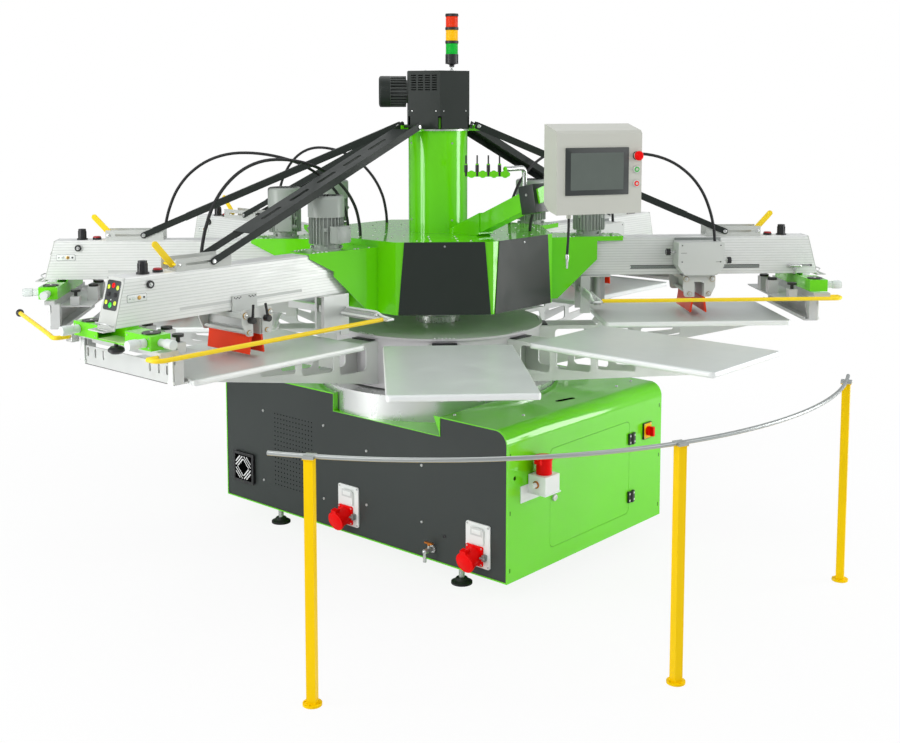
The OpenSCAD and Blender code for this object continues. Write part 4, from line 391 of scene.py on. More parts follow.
BLADE, GUARD_YELLOW = srgb(234, 58, 14), srgb(247, 204, 0)
FINISHES = {
    "green_paint": (paint, srgb(106, 216, 2), dict(
        rough=(0.3, 0.4), peel=0.02, coat=1, specular=0.1, gloss=0.07)),
    "dark_paint": (paint, srgb(42, 47, 44), dict(rough=(0.4, 0.5), peel=0.08, coat=0.05, specular=0.15)),
    "black_paint": (paint, srgb(76, 80, 77), dict(rough=(0.35, 0.5), peel=0.08, coat=0.1)),
    "yellow_paint": (paint, GUARD_YELLOW, dict(rough=(0.3, 0.4), peel=0.01, coat=0.2, specular=0.1)),
    "motor_grey": (paint, srgb(158, 165, 158), dict(rough=(0.35, 0.5), peel=0.14, coat=0.1)),
    "cast_grey": (metal, srgb(168, 172, 168), dict(rough=(0.35, 0.5), metallic=0.5, scale=40, grain=0.15)),
    "bare_steel": (metal, srgb(214, 216, 214), dict(
        rough=(0.24, 0.38), metallic=0.75, scale=50, stretch=(1, 1, 0.2))),
    "anodised_beam": (beam_metal, srgb(232, 234, 231), {}),
    "brushed_plate": (metal, srgb(214, 216, 213), dict(
        rough=(0.28, 0.42), metallic=0.35, grain=0.08, stretch=(1, 1, 0.15))),
    "pallet_face": (metal, srgb(212, 218, 214), dict(rough=(0.3, 0.4), metallic=0.2, scale=30, grain=0.04)),
    "panel_paint": (paint, srgb(196, 197, 187), dict(rough=(0.34, 0.44), peel=0.08, coat=0.1)),
    "carriage_grey": (two_tone, srgb(206, 209, 205), dict(inside=BLADE, band=(1.0, 1.1275), specular=0.3)),
    "gear_plastic": (plastic, srgb(228, 229, 228), {}),
    "black_plastic": (plastic, srgb(28, 29, 30), dict(rough=(0.32, 0.46), grain=0.08)),
    "black_rubber": (rubber, srgb(24, 24, 25), {}),
    "hose_rubber": (rubber, srgb(20, 21, 22), {}),
    "red_plastic": (plastic, srgb(240, 4, 4), dict(rough=(0.3, 0.4), specular=0.12)),
    "green_plastic": (plastic, srgb(60, 185, 70), dict(rough=(0.25, 0.36))),
    "white_plastic": (plastic, srgb(232, 235, 232), dict(rough=(0.3, 0.4))),
    "lens_plastic": (plastic, srgb(230, 120, 20), {}),
    "blade_red": (two_tone, BLADE, dict(
        inside=srgb(196, 198, 196), band=(1.13, 1.3), metallic_inside=0.6, specular=0.2)),
    "brass_lever": (metal, srgb(196, 160, 96), dict(rough=(0.22, 0.34), metallic=0.95)),
    "tower_green": (lamp, srgb(0, 178, 48), {}),
    "tower_amber": (lamp, srgb(246, 186, 0), {}),
    "tower_red": (lamp, srgb(222, 52, 8), {}),
    "guard_finish": (two_tone, GUARD_YELLOW, dict(
        inside=srgb(176, 180, 178), band=(0.8665, 2.0), metallic_inside=0.7, specular=0.1)),
    "hub_and_cabinet_dark": (two_tone, srgb(56, 61, 59), dict(
        inside=srgb(44, 50, 46), band=(1.0, 1.6), specular=0.25)),
    "head_plate_paint": (paint, srgb(194, 197, 192), dict(
        rough=(0.34, 0.46), peel=0.05, coat=0.05, specular=0.2)),
    "turntable_steel": (metal, srgb(196, 194, 196), dict(rough=(0.4, 0.54), metallic=0.1)),
    "bar_yellow": (paint, srgb(244, 212, 44), dict(rough=(0.3, 0.4), peel=0.01, coat=0.2, specular=0.1)),
    "clamp_plate": (metal, srgb(198, 200, 198), dict(rough=(0.3, 0.44), metallic=0.3, grain=0.06)),
    "stop_red": (plastic, srgb(168, 18, 24), dict(rough=(0.3, 0.4))),
    "beam_lip": (plastic, srgb(206, 209, 206), dict(rough=(0.4, 0.5))),
    "slot_grey": (metal, srgb(140, 146, 142), dict(rough=(0.35, 0.5), metallic=0.5, grain=0.06)),
    "knob_white": (plastic, srgb(212, 219, 215), dict(rough=(0.3, 0.4))),
    "bronze": (metal, srgb(190, 112, 40), dict(rough=(0.3, 0.42), metallic=0.7)),
    "screen_glass": (plastic, srgb(96, 104, 98), dict(rough=(0.08, 0.14), grain=0.01)),
    "slate": (paint, srgb(38, 44, 42), dict(rough=(0.35, 0.48))),
    "screw_steel": (metal, srgb(206, 208, 206), dict(
        rough=(0.22, 0.36), metallic=0.8, scale=200, grain=0.04)),
    "dark_screw": (metal, srgb(52, 54, 56), dict(rough=(0.3, 0.42), metallic=0.8, scale=200)),
    "key_green": (plastic, srgb(0, 225, 40), dict(rough=(0.25, 0.35))),
    "key_yellow": (plastic, srgb(200, 225, 30), dict(rough=(0.25, 0.35))),
    # A much lighter copy of the holders' green paint: painted light on a tray that sits in shade under the
    # end plate and blocks.
    "tray_green": (paint, srgb(212, 250, 172), dict(rough=(0.3, 0.4), peel=0.04, coat=0.2, specular=0.3)),
    "pallet_metal": (pallet_metal, srgb(208, 214, 210), {}),
    # Near-black without shine: painted shade inside openings, slits, slots and grilles.
    "hole_black": (plastic, srgb(5, 5, 5), dict(rough=(0.8, 0.95), specular=0)),
}
MATERIALS = {name: recipe(name, colour, **values) for name, (recipe, colour, values) in FINISHES.items()}

# Nodes whose finish differs from the one that their material slot names
NODE_FINISHES = {
    "guard_rail": "guard_finish", "tap_body": "screw_steel", "tap_handle": "bronze",
    "dark_panels": "hub_and_cabinet_dark", "head_plates": "head_plate_paint",
    "turntable": "turntable_steel", "registration_knobs": "knob_white", "lock_levers": "bar_yellow",
    "safety_bars": "bar_yellow", "pallets": "pallet_metal", "frame_clamps": "clamp_plate",
    "stop_buttons": "stop_red", "tool_rack": "green_paint"}


def dress_nodes():
    """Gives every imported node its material."""
    slots = {s["node"]: s["material_slot"] for s in frame["record"]["subparts"]}
    for name, node in frame["nodes"].items():
        material = MATERIALS[NODE_FINISHES.get(name, slots[name])]
        if not node.material_slots:
            node.data.materials.append(material)
        for slot in node.material_slots:
            slot.material = material


# Mesh building

def soften(bm, edges, size):
    """Rounds edges a little."""
    bmesh.ops.bevel(bm, geom=list(edges), offset=size * MM, segments=2, profile=0.6, affect="EDGES")


def add_box(bm, low, high, place=AXIS, bevel=0.0):
    """A box between two corners; bevel rounds its edges."""
    low, high = Vector(low) * MM, Vector(high) * MM
    corners = [(x, y, z) for x in (low.x, high.x) for y in (low.y, high.y) for z in (low.z, high.z)]
    verts = [bm.verts.new(place @ Vector(c)) for c in corners]
    quads = ((0, 1, 3, 2), (4, 6, 7, 5), (0, 4, 5, 1), (2, 3, 7, 6), (0, 2, 6, 4), (1, 5, 7, 3))
    faces = [bm.faces.new([verts[i] for i in quad]) for quad in quads]
    if bevel:
        soften(bm, {e for f in faces for e in f.edges}, bevel)


def add_lathe(bm, profile, place, steps=24):
    """Turns a profile of (radius, height) pairs about the place's Z axis."""
    angles = [2 * math.pi * k / steps for k in range(steps)]
    rings = []
    for r, z in profile:
        spots = [(r * math.cos(a), r * math.sin(a), z) for a in angles] if r else [(0, 0, z)]
        rings.append([bm.verts.new(place @ (Vector(spot) * MM)) for spot in spots])
    for a, b in zip(rings, rings[1:]):
        for k in range(steps):
            n = (k + 1) % steps
            if len(a) == 1:
                bm.faces.new((a[0], b[k], b[n]))
            elif len(b) == 1:
                bm.faces.new((a[k], b[0], a[n]))
            else:
                bm.faces.new((a[k], b[k], b[n], a[n]))


def add_prism(bm, outline, thickness, place, bevel=0.0):
    """A flat outline in the place's XY plane, raised along its Z axis."""
    low, high = ([bm.verts.new(place @ (Vector((x, y, z)) * MM)) for x, y in outline] for z in (0, thickness))
    bm.faces.new(low[::-1])
    top = bm.faces.new(high)
    for k in range(len(outline)):
        n = (k + 1) % len(outline)
        bm.faces.new((low[k], low[n], high[n], high[k]))
    if bevel:
        soften(bm, top.edges, bevel)


def rounded_outline(width, height, radius):
    """A rectangle's outline with round corners."""
    points = []
    for cx, cy, start in ((1, 1, 0), (-1, 1, 90), (-1, -1, 180), (1, -1, 270)):
        for k in range(6):
            a = math.radians(start + 18 * k)
            points.append((cx * (width / 2 - radius) + radius * math.cos(a),
                           cy * (height / 2 - radius) + radius * math.sin(a)))
    return points


def add_tube(bm, points, radius, sides=16, ends=(None, None)):
    """Sweeps a round section along points in metres, without twist; ends may give the end directions."""
    last = len(points) - 1
    rings = []
    side = None
    for i, p in enumerate(points):
        t = (points[min(i + 1, last)] - points[max(i - 1, 0)]).normalized()
        if i in (0, last) and ends[i > 0] is not None:
            t = Vector(ends[i > 0])
        if side is None:
            side = t.orthogonal().normalized()
        side = (side - t * side.dot(t)).normalized()
        other = t.cross(side)
        rings.append([
            bm.verts.new(p + radius * MM * (math.cos(a) * side + math.sin(a) * other))
            for a in (2 * math.pi * (k + 0.5) / sides for k in range(sides))])
    for a, b in zip(rings, rings[1:]):
        for k in range(sides):
            n = (k + 1) % sides
            bm.faces.new((a[k], a[n], b[n], b[k]))
    bm.faces.new(rings[0][::-1])
    bm.faces.new(rings[-1])


def smooth_path(points, place, steps):
    """A smooth curve through points, as a list of places in metres."""
    p = [place @ (Vector(q) * MM) for q in points]
    last = len(p) - 1
    out = []
    for i in range(last):
        a, b, c, d = p[max(i - 1, 0)], p[i], p[i + 1], p[min(i + 2, last)]
        for k in range(steps):
            t = k / steps
            out.append(0.5 * (2 * b + (c - a) * t + (2 * a - 5 * b + 4 * c - d) * t * t
                              + (3 * b - a - 3 * c + d) * t ** 3))
    return out + [p[-1]]


def add_screw(bm, place, diameter):
    """A socket screw head with its recess, standing on the place's XY plane."""
    r, h = diameter / 2, diameter * 0.3
    add_lathe(bm, [(r, 0), (r, h * 0.5), (r * 0.8, h), (r * 0.45, h), (r * 0.45, h * 0.35), (0, h * 0.35)],
              place, 18)


# Pieces

def piece(name, build, material, body="press_frame", smooth=35, replaces=()):
    """Builds one named object and says which body it rides on."""
    bm = bmesh.new()
    build(bm)
    bmesh.ops.recalc_face_normals(bm, faces=bm.faces)
    limit = math.radians(smooth)
    for face in bm.faces:
        face.smooth = True
    for edge in bm.edges:
        edge.smooth = len(edge.link_faces) == 2 and edge.calc_face_angle(0) < limit
    mesh = bpy.data.meshes.new(name)
    bm.to_mesh(mesh)
    bm.free()
    mesh.materials.append(MATERIALS[material])
    obj = bpy.data.objects.new(name, mesh)
    scene.collection.objects.link(obj)
    if body:
        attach(obj, body)
    if replaces:
        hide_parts(*replaces)
    return obj


def turned(name, profile, place, steps, material, body="press_frame"):
    """A piece made by one turned profile."""
    return piece(name, lambda bm: add_lathe(bm, profile, place, steps), material, body)


def plate(name, size, thickness, place, material, body="press_frame", bevel=0.0):
    """A flat piece whose size is (width, height, corner radius)."""
    piece(name, lambda bm: add_prism(bm, rounded_outline(*size), thickness, place, bevel),
          material, body)


def boxes(name, corners, material, place=AXIS, bevel=0.0):
    """A piece made of boxes between pairs of (low, high) corners."""
    piece(name, lambda bm: [add_box(bm, low, high, place, bevel) for low, high in corners], material)


def screws(name, places, diameter):
    """Screws at places that look out of a face."""
    piece(name, lambda bm: [add_screw(bm, place, diameter) for place in places], "screw_steel")


def on_heads(name, build, material):
    """One piece that repeats on every head."""
    piece(name, lambda bm: [build(bm, turn(angle)) for angle in HEADS], material)


def head_screws(name, spots, diameter):
    """Screws at the same (r, y, z, direction) spots of every head."""
    screws(name, [turn(angle) @ facing(*spot) for angle in HEADS for spot in spots], diameter)


# Cords

# Shares of the hose's reach along the beam, its drift across the beam and its rise
HOSE_SHARES = [
    (0, 0, 0), (0.007, 0, 0.157), (0.036, 0.04, 0.377), (0.102, 0.11, 0.598), (0.204, 0.22, 0.791),
    (0.328, 0.3, 0.923), (0.476, 0.41, 0.997), (0.623, 0.52, 1), (0.747, 0.63, 0.915), (0.849, 0.74, 0.749),
    (0.923, 0.85, 0.529), (0.968, 0.93, 0.281), (0.992, 0.96, 0.047)]
HOSE_START, HOSE_END, HOSE_RISE = (430, -92), (1313, -119, 1392), 363
HOSE_REACH, HOSE_DRIFT = HOSE_END[0] - HOSE_START[0], HOSE_END[1] - HOSE_START[1]
HOSE_POINTS = [
    (HOSE_START[0] + HOSE_REACH * a, HOSE_START[1] + HOSE_DRIFT * b, HUB_TOP + HOSE_RISE * c)
    for a, b, c in HOSE_SHARES] + [HOSE_END]
# From the panel's underside down to the connector, in the panel's place
LEAD_POINTS = [
    (-122 / 3, -120 - 6 * s, -190 - 30 * i) for i, s in enumerate((0, 0, 0.17, 0.33, 0.67, 1))]


def path_length(path):
    """The length of a line through points, in metres."""
    return sum((b - a).length for a, b in zip(path, path[1:]))


def make_hoses():
    """An arched air hose from the hub's roof to each carriage's cover."""
    for i, angle in enumerate(HEADS):
        path = smooth_path(HOSE_POINTS, turn(angle), 4)
        hose = piece(f"air_hose_{i + 1}", lambda bm: add_tube(bm, path, 7, ends=(PLUS_Z, MINUS_Z)),
                     "hose_rubber", None, 60)
        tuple(path[4])
        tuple(path[-5])
        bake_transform(hose)
        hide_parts("hoses")
        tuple(path[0])
        path_length(path)


def make_lead():
    """The short lead with a connector that hangs under the control panel."""
    path = smooth_path(LEAD_POINTS, PANEL, 4)
    tip = turned(
        "lead_connector",
        [(0, -58), (3.6, -58), (4, -50), (4.6, -49), (5.4, -22), (7.6, -20), (7.9, -10), (7.9, -3), (6.6, 0),
         (0, 0)], PANEL @ shift(*LEAD_POINTS[-1]), 24, "screw_steel", "operator_panel")
    lead = piece("panel_cord", lambda bm: add_tube(bm, path, 5.5, ends=(MINUS_Z, MINUS_Z)),
                 "hose_rubber", "operator_panel", 60, ("panel_lead",))
    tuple(path[0])
    path_length(path)


# Cabinet

def cabinet_front():
    """Screws and plug of the front panels, and the screws of the rear one."""
    spots = [(-616, 568), (-191, 569), (89, 502), (424, 503), (-616, 224), (-191, 223), (89, 254), (424, 253)]
    screws("front_screws", [facing(x, FRONT_Y, z, MINUS_Y) for x, z in spots], 13)
    turned("front_plug", [(0, 0.5), (7, 0.5), (7, 2), (9, 2), (9, 0)], facing(554, FRONT_Y, 218, MINUS_Y), 24,
           "black_plastic")
    screws("rear_screws",
           [facing(x, REAR_Y, z, PLUS_Y) for x in (-790, -400, 0, 400, 790) for z in (160, 640)], 13)


def fan_details():
    """Crossed slats over a dark plate that paints the shade in the opening, in a flat frame with four screws.
    """
    place = facing(-757, -592, 260, MINUS_Y)
    rim, edge, middle, screw = 76, 62, 58, 67
    plate("fan_opening_shade", (136, 136, 6), 0.6, place, "hole_black")

    def slats(bm):
        for quarter in range(4):
            wide = 3.0 if quarter % 2 else 1.7
            for out in (44, 62, 80):
                half = (middle - abs(out - middle)) / math.sqrt(2) - 3
                spot = place @ turn(45 + 90 * quarter) @ shift(out / math.sqrt(2), 0, 0)
                add_box(bm, (-wide, -half, 0.6), (wide, half, 3.6), spot, 0.8)
    piece("fan_slats", slats, "gear_plastic")
    boxes("fan_frame", (((-rim, -rim, 0), (-edge, rim, 3)), ((edge, -rim, 0), (rim, rim, 3)),
                        ((-edge, -rim, 0), (edge, -edge, 3)), ((-edge, edge, 0), (edge, rim, 3))),
          "black_plastic", place=place, bevel=1.2)
    screws("fan_screws", [place @ shift(x, y, 0) for x in (-screw, screw) for y in (-screw, screw)], 8)


def socket_details():
    """Breaker windows, shell flanges, lid latches and the ribbed lids of the sockets."""
    for name, low, high, grow, material in (
            ("breaker_frames", -596.4, -594.8, 8, "beam_lip"),
            ("breaker_windows", -597.6, -596.2, 0, "white_plastic")):
        boxes(name, [((x - 24 - grow, low, SOCKET_Z + 50 - grow), (x + 24 + grow, high, SOCKET_Z + 68 + grow))
                     for x in SOCKET_X], material, bevel=0.6)
    piece("socket_flanges", lambda bm: [
        add_prism(bm, rounded_outline(90, 84, 6), 7, facing(x, SOCKET_Y, SHELL_Z, MINUS_Y), 1.5)
        for x in SHELL_X], "red_plastic")
    screws("flange_screws", [facing(x + dx, SOCKET_Y - 7, SHELL_Z + dz, MINUS_Y)
                             for x in SHELL_X for dx in (-38, 38) for dz in (-35, 35)], 8)

    def latches(bm):
        for x in SOCKET_X:
            add_box(bm, (x + 34, -604, 172), (x + 50, SOCKET_Y, 198), bevel=2)
            add_lathe(bm, [(0, -14), (4.5, -14), (4.5, 14), (0, 14)], facing(x + 42, -606, 185, PLUS_X), 14)
    piece("lid_latches", latches, "slot_grey")
    screws("socket_screws", [facing(x + dx, SOCKET_Y, SOCKET_Z + dz, MINUS_Y)
                             for x in SOCKET_X for dx in (-56, 56) for dz in (-84, 84)], 9)

    def ribs(bm, place, radius, top):
        for k in range(24):
            add_box(bm, (radius - 1, -1.2, top - 8), (radius + 1.4, 1.2, top), place @ turn(15 * k), 0.4)
        add_lathe(bm, [(0, top + 1.6), (radius - 12, top + 1.6), (radius - 9, top)], place, 32)
    lids = [(shift(x, SOCKET_Y, SHELL_Z) @ lean(104, "X"), 44, 70.3) for x in SHELL_X]
    lids.append((shift(END_X + 48, -400, 530) @ turn(180), 38, 74.3))
    for i, (place, radius, top) in enumerate(lids):
        piece(f"lid_ribs_{i + 1}", lambda bm: ribs(bm, place, radius, top), "red_plastic",
              f"socket_lid_{i + 1}")


def switch_details():
    """The yellow card behind the main switch, with its screws."""
    x, y, z = END_X + 8, 454, 530
    plate("switch_card", (60, 70, 5), 1.2, facing(x, y, z, PLUS_X), "yellow_paint")
    screws("switch_screws", [facing(x + 1.2, y + dy, z + dz, PLUS_X) for dy in (-24, 24) for dz in (-29, 29)],
           6)


def hinge_covers():
    """Black hinge leaves with light square marks, one half on the door and one on the frame."""
    def leaves(bm, y0, y1):
        for z in HINGE_Z:
            add_box(bm, (END_X + 0.4, y0, z - 26), (END_X + 10.5, y1, z + 26), bevel=1.2)

    def marks(bm, y):
        for z in HINGE_Z:
            for dz in (-15, 15):
                add_box(bm, (END_X + 10, y - 4, z + dz - 4), (END_X + 11.6, y + 4, z + dz + 4), bevel=0.5)

    def door_side(bm):
        leaves(bm, 300, 314.2)
        for z in HINGE_Z:
            add_lathe(bm, [(0, -24), (9.7, -24), (9.7, 24), (0, 24)], shift(END_X + 9, 324, z), 20)
    piece("hinge_leaves_door", door_side, "black_plastic", "cabinet_door")
    piece("hinge_marks_door", lambda bm: marks(bm, 307), "gear_plastic", "cabinet_door")
    piece("hinge_leaves_frame", lambda bm: leaves(bm, 333.8, 348), "black_plastic")
    piece("hinge_marks_frame", lambda bm: marks(bm, 341), "gear_plastic")


def side_slits():
    """Dark seams at both ends of the cabinet's side."""
    boxes("side_slits", [((END_X - 0.4, y - 2, z - 9), (END_X + 0.6, y + 2, z + 9))
                         for y in (-563, 564) for z in (629, 390, 149)],
          "hole_black", bevel=0.3)


def lock_and_stub():
    """The door lock's bright disc, and the brass ring and white stub on the side socket."""
    turned("lock_disc", [(14.2, 0.4), (15, 0.6), (15, 7), (13.6, 9.4), (5, 10), (5, 8.6), (0, 8.6)],
           facing(END_X, -265, 386, PLUS_X), 28, "screw_steel", "cabinet_door")
    face = facing(939, -448, 493, MINUS_Y)
    turned("stub_ring", [(10.4, 0), (15.5, 0), (15.5, 3), (13.5, 5), (10.4, 5)], face, 28,
           "bronze")
    turned("socket_stub", [(10, 0), (10, 26), (8.6, 28), (0, 28)], face, 24, "white_plastic")


def foot_stems():
    """Bright stems and nuts between the cabinet and the rubber feet."""
    def build(bm):
        for x in (-585, 585):
            for y in (-503, 503):
                add_lathe(bm, [(12.6, 26.4), (12.6, 80)], shift(x, y, 0), 20)
                add_lathe(bm, [(22, 82), (22, 95.4)], shift(x, y, 0), 6)
    piece("foot_stems", build, "screw_steel")


def vent_hole_shade():
    """Dark discs in the front panel's field of round vents, painted shade inside the holes."""
    columns, rows, pitch = 13, 17, 21.6
    piece("vent_hole_shade", lambda bm: [
        add_lathe(bm, [(3.4, 0), (3.4, 1.2), (0, 1.2)],
                  facing(-532 + column * pitch, -577.4, 222 + row * pitch, MINUS_Y), 8)
        for column in range(columns) for row in range(rows)], "hole_black")


def cabinet_top():
    """Screws, and a dark plate in the long grip slot of the cabinet's top that paints the shade inside it."""
    spots = [(517.77, 141.86), (777.69, 376.97), (778.96, -330.58), (556.70, -518.04), (768.48, 512.49)]
    screws("top_screws", [shift(x, y, TOP_Z) for x, y in spots], 14)
    plate("top_slot_shade", (109.89, 22, 10.9), 0.8, shift(747.74, 12.87, TOP_Z) @ turn(77.85),
          "hole_black")


# Top

def signal_tower():
    """Three ribbed lenses with the black rings and the pole that carry them."""
    foot, pitch, rib_pitch = 79.15, 63, 3.95
    for i, colour in enumerate(("tower_green", "tower_amber", "tower_red")):
        profile = [(11.4, 0), (27.6, 0)]
        for k in range(12):
            z = 1.5 + k * rib_pitch
            profile += [(28.9, z + 1), (28.9, z + 2.4), (28.1, z + 3.4)]
        profile += [(27.6, 49.7), (11.4, 49.7), (11.4, 0)]
        low = SHROUD_TOP + foot + i * pitch
        piece(f"lamp_{i + 1}", lambda bm: add_lathe(bm, profile, TOWER @ shift(0, 0, low), 40), colour,
              "press_frame", 40, ("lamp_lenses",))

    rings = [[(29.6, low + 0.4), (31.4, low + 1.4), (31.4, low + 11.6), (29.6, low + 12.6)]
             for low in (2325, 2388)]
    rings.append([(30.2, 2451.4), (31.2, 2452.4), (31.2, 2458), (29, 2462), (24, 2463.8), (0, 2463.9)])
    rings.append([(8.3, 2216), (12, 2217), (12, 2226), (24, 2229.6), (30.6, 2231), (30.6, 2274),
                  (29.4, 2275.4)])
    piece("tower_rings", lambda bm: [add_lathe(bm, profile, TOWER, 40) for profile in rings],
          "black_plastic")
    turned("tower_pole", [(20, 2196.2), (20, 2199), (8.4, 2200), (8.4, 2216)], TOWER, 28,
           "screw_steel")


def shroud_fittings():
    """The shroud's bright foot ring, the lift motor's rounded cover and the green foot strips."""
    turned("shroud_foot", [(143, 1917.6), (151, 1917.6), (152, 1919), (152, 1925.4), (143, 1925.8)], AXIS, 64,
           "screw_steel")
    turned("cowl_cap", [(73.2, -44), (73.2, -4), (72.4, 1), (69, 5), (60, 8), (0, 8)],
           turn(225) @ facing(270.9, 0, 2100, PLUS_X), 48, "dark_paint")
    piece("slot_strips", lambda bm: [
        add_box(bm, (131, -5, 1927), (137, 5, 1980), turn(a), 1) for a in (-45, 15, -105)],
        "green_paint")


def control_face():
    """Bezel, screen, button rings and centres, and back trim of the control panel."""
    body = "operator_panel"

    def on_face(x, y, z):
        return PANEL @ face_place((x, y, z), PLUS_Y, PLUS_Z)
    face = on_face(4, -14, 5)
    plate("panel_bezel", (292, 196, 3), 1.2, face, "slate", body, 0.5)
    plate("panel_screen", (243, 153, 1.5), 0.6, face @ shift(0, 0, 1.2),
          "screen_glass", body)
    turned("stop_collar", [(0, 0.4), (17, 0.4), (18, 1.4), (17, 3), (11.6, 3.6)], on_face(0, 170, 67), 32,
           "black_plastic", body)
    bezel = [(11.3, 0), (15.5, 0), (15.5, 1.2), (14.6, 2), (11.3, 2)]
    piece("button_bezels", lambda bm: [add_lathe(bm, bezel, on_face(4, 170, z), 32) for z in (10, -49)],
          "brushed_plate", body)
    for button, z in (("start", 10), ("reset", -49)):
        turned(f"{button}_centre", [(0, 1), (5.2, 1), (6, 0.3), (6, 0)], on_face(8, 170, z), 24,
               "panel_paint", f"{button}_button")

    def back_trim(bm):
        add_box(bm, (-121.6, -186, 40), (-122.6, 186, 41.6), PANEL)
        for y in (-150, 150):
            for z in (-110, 120):
                add_screw(bm, PANEL @ facing(-122, y, z, MINUS_X), 9)
    piece("panel_back_trim", back_trim, "screw_steel", body)


def arm_fittings():
    """The dark cover over the arm's joint, the cone under the swivel, and the tool rack's tube and driver
    covers.
    """
    joint = shift(645.7, -90.7, 1630) @ turn(-8) @ lean(-12, "Y")
    boxes("joint_cover", [((-45.2, -44.2, -62.2), (45.2, 44.2, 62.2))], "slate",
          place=joint, bevel=2.5)
    screws("joint_screws", [joint @ facing(0, -44.2, 20, MINUS_Y), joint @ facing(45.2, 0, 24, PLUS_X)], 12)
    turned("swivel_cone",
           [(0, 1626), (15, 1626), (17, 1629), (29, 1652), (30, 1655), (30, 1661.4), (0, 1661.4)],
           shift(887.0, -73.9, 0), 32, "black_plastic")

    x, bend = 603.3, 24
    route = [(x, -105, 1673)]
    route += [(x, -129 + bend * math.cos(a), 1742 + bend * math.sin(a))
              for a in (math.pi / 2 * k / 6 for k in range(7))]
    route.append((x, -240, 1766))
    piece("rack_tube", lambda bm: add_tube(bm, [Vector(p) * MM for p in route], 11.5, 24),
          "screw_steel")
    rack = shift(x, -242, 0) @ turn(222)
    driver = [(0, 1733.4), (6.4, 1733.4), (7.6, 1737), (7.6, 1782), (6, 1789.4), (3.4, 1790), (3.4, 1825.4),
              (0, 1825.6)]
    piece("driver_covers", lambda bm: [
        add_lathe(bm, driver, rack @ shift(along, 0, 0), 14) for along in (24, 72, 120, 168)],
        "black_plastic")


# Print heads

def keypad_place(head, down):
    """A place on a head's slanted end plate, so far down from the beam's top."""
    z = BEAM_TOP - down * math.cos(SLANT)
    r = BEAM_END + (BEAM_TOP - z) * END_LEAN / END_HEIGHT + END_PLATE
    return head @ face_place((r, 0, z), PLUS_Y, (-math.sin(SLANT), 0, math.cos(SLANT)))


def keypads():
    """The keypad, foot loop and screws of each head's slanted end plate."""
    thick = 1.2
    on_heads("keypad_plates", lambda bm, head: add_prism(
        bm, rounded_outline(86, 112, 9), thick, keypad_place(head, 68), 0.4), "slate")
    for name, material, slot, r, spots in (
            ("keypad_red", "red_plastic", "red_plastic", 10, [(0, 31)]),
            ("keypad_green", "key_green", "green_plastic", 10, [(0, 105)]),
            ("keypad_yellow", "key_yellow", "green_plastic", 8.5, [(-28, 38), (28, 38), (-28, 96), (28, 96)]),
            ("keypad_mark", "white_plastic", "white_plastic", 2.4, [(0, 85)])):
        on_heads(name, lambda bm, head: [
            add_lathe(bm, [(r, 0), (r, 1.2), (r * 0.8, 2), (0, 2.2)],
                      keypad_place(head, down) @ shift(y, 0, thick), 20) for y, down in spots],
            material)

    def knobs(bm, head):
        for y in (-21, 21):
            place = keypad_place(head, 66) @ shift(y, 0, thick)
            add_lathe(bm, [(12, 0), (12, 1.2), (9, 1.6), (8.6, 4.6), (7.6, 5.4), (0, 5.4)], place, 20)
            add_box(bm, (-1.6, -7.5, 5), (1.6, 7.5, 7), place, 0.5)
    on_heads("keypad_knobs", knobs, "black_plastic")

    bow = [(-44, 0), (-44, -16), (-38, -24), (-28, -27), (28, -27), (38, -24), (44, -16), (44, 0)]

    def loop(bm, head):
        place = keypad_place(head, 183) @ Matrix.Rotation(-math.pi / 2 - SLANT, 4, "X")
        add_tube(bm, [place @ (Vector((x, y, 0)) * MM) for x, y in bow], 2.6, 10)
    on_heads("end_plate_loops", loop, "clamp_plate")
    screws("end_plate_screws", [keypad_place(turn(angle), down) @ shift(y, 0, 0)
                                for angle in HEADS for y in (-49, 49) for down in (7, 182)], 7)


def beam_fittings():
    """Stop button, fluted knob and lock on each beam."""
    for name, profile, material, slot in (
            ("stop_bases", [(15.3, 0), (20, 0), (20, 8), (18.8, 9.6), (15.3, 9.6)],
             "black_plastic", "black_plastic"),
            ("stop_caps", [(15.2, 9.6), (17.4, 9.6), (17.4, 13.4), (15.8, 15.4), (0, 15.8)],
             "stop_red", "red_plastic")):
        on_heads(name, lambda bm, head: add_lathe(bm, profile, head @ shift(STOP_R, 0, BEAM_TOP), 28),
                 material)

    def flutes(bm, head):
        place = head @ shift(KNOB_R, 0, BEAM_TOP)
        for k in range(14):
            add_box(bm, (17.2, -1.6, 8), (19.6, 1.6, 40), place @ turn(k * 360 / 14), 0.6)
        add_lathe(bm, [(0, 50.8), (13, 50.8), (15.5, 50)], place, 28)
    on_heads("knob_flutes", flutes, "black_plastic")

    def lock(bm, head):
        place = head @ face_place((LOCK_R, 63, 1374), MINUS_X, PLUS_Z)
        add_lathe(bm, [(0, 0.4), (7.5, 0.4), (8.5, 1.2), (8.5, 0)], place)
        add_box(bm, (-1.4, -5, 0.4), (1.4, 5, 3.4), place @ turn(35), 0.4)
    on_heads("lock_centres", lock, "screw_steel")


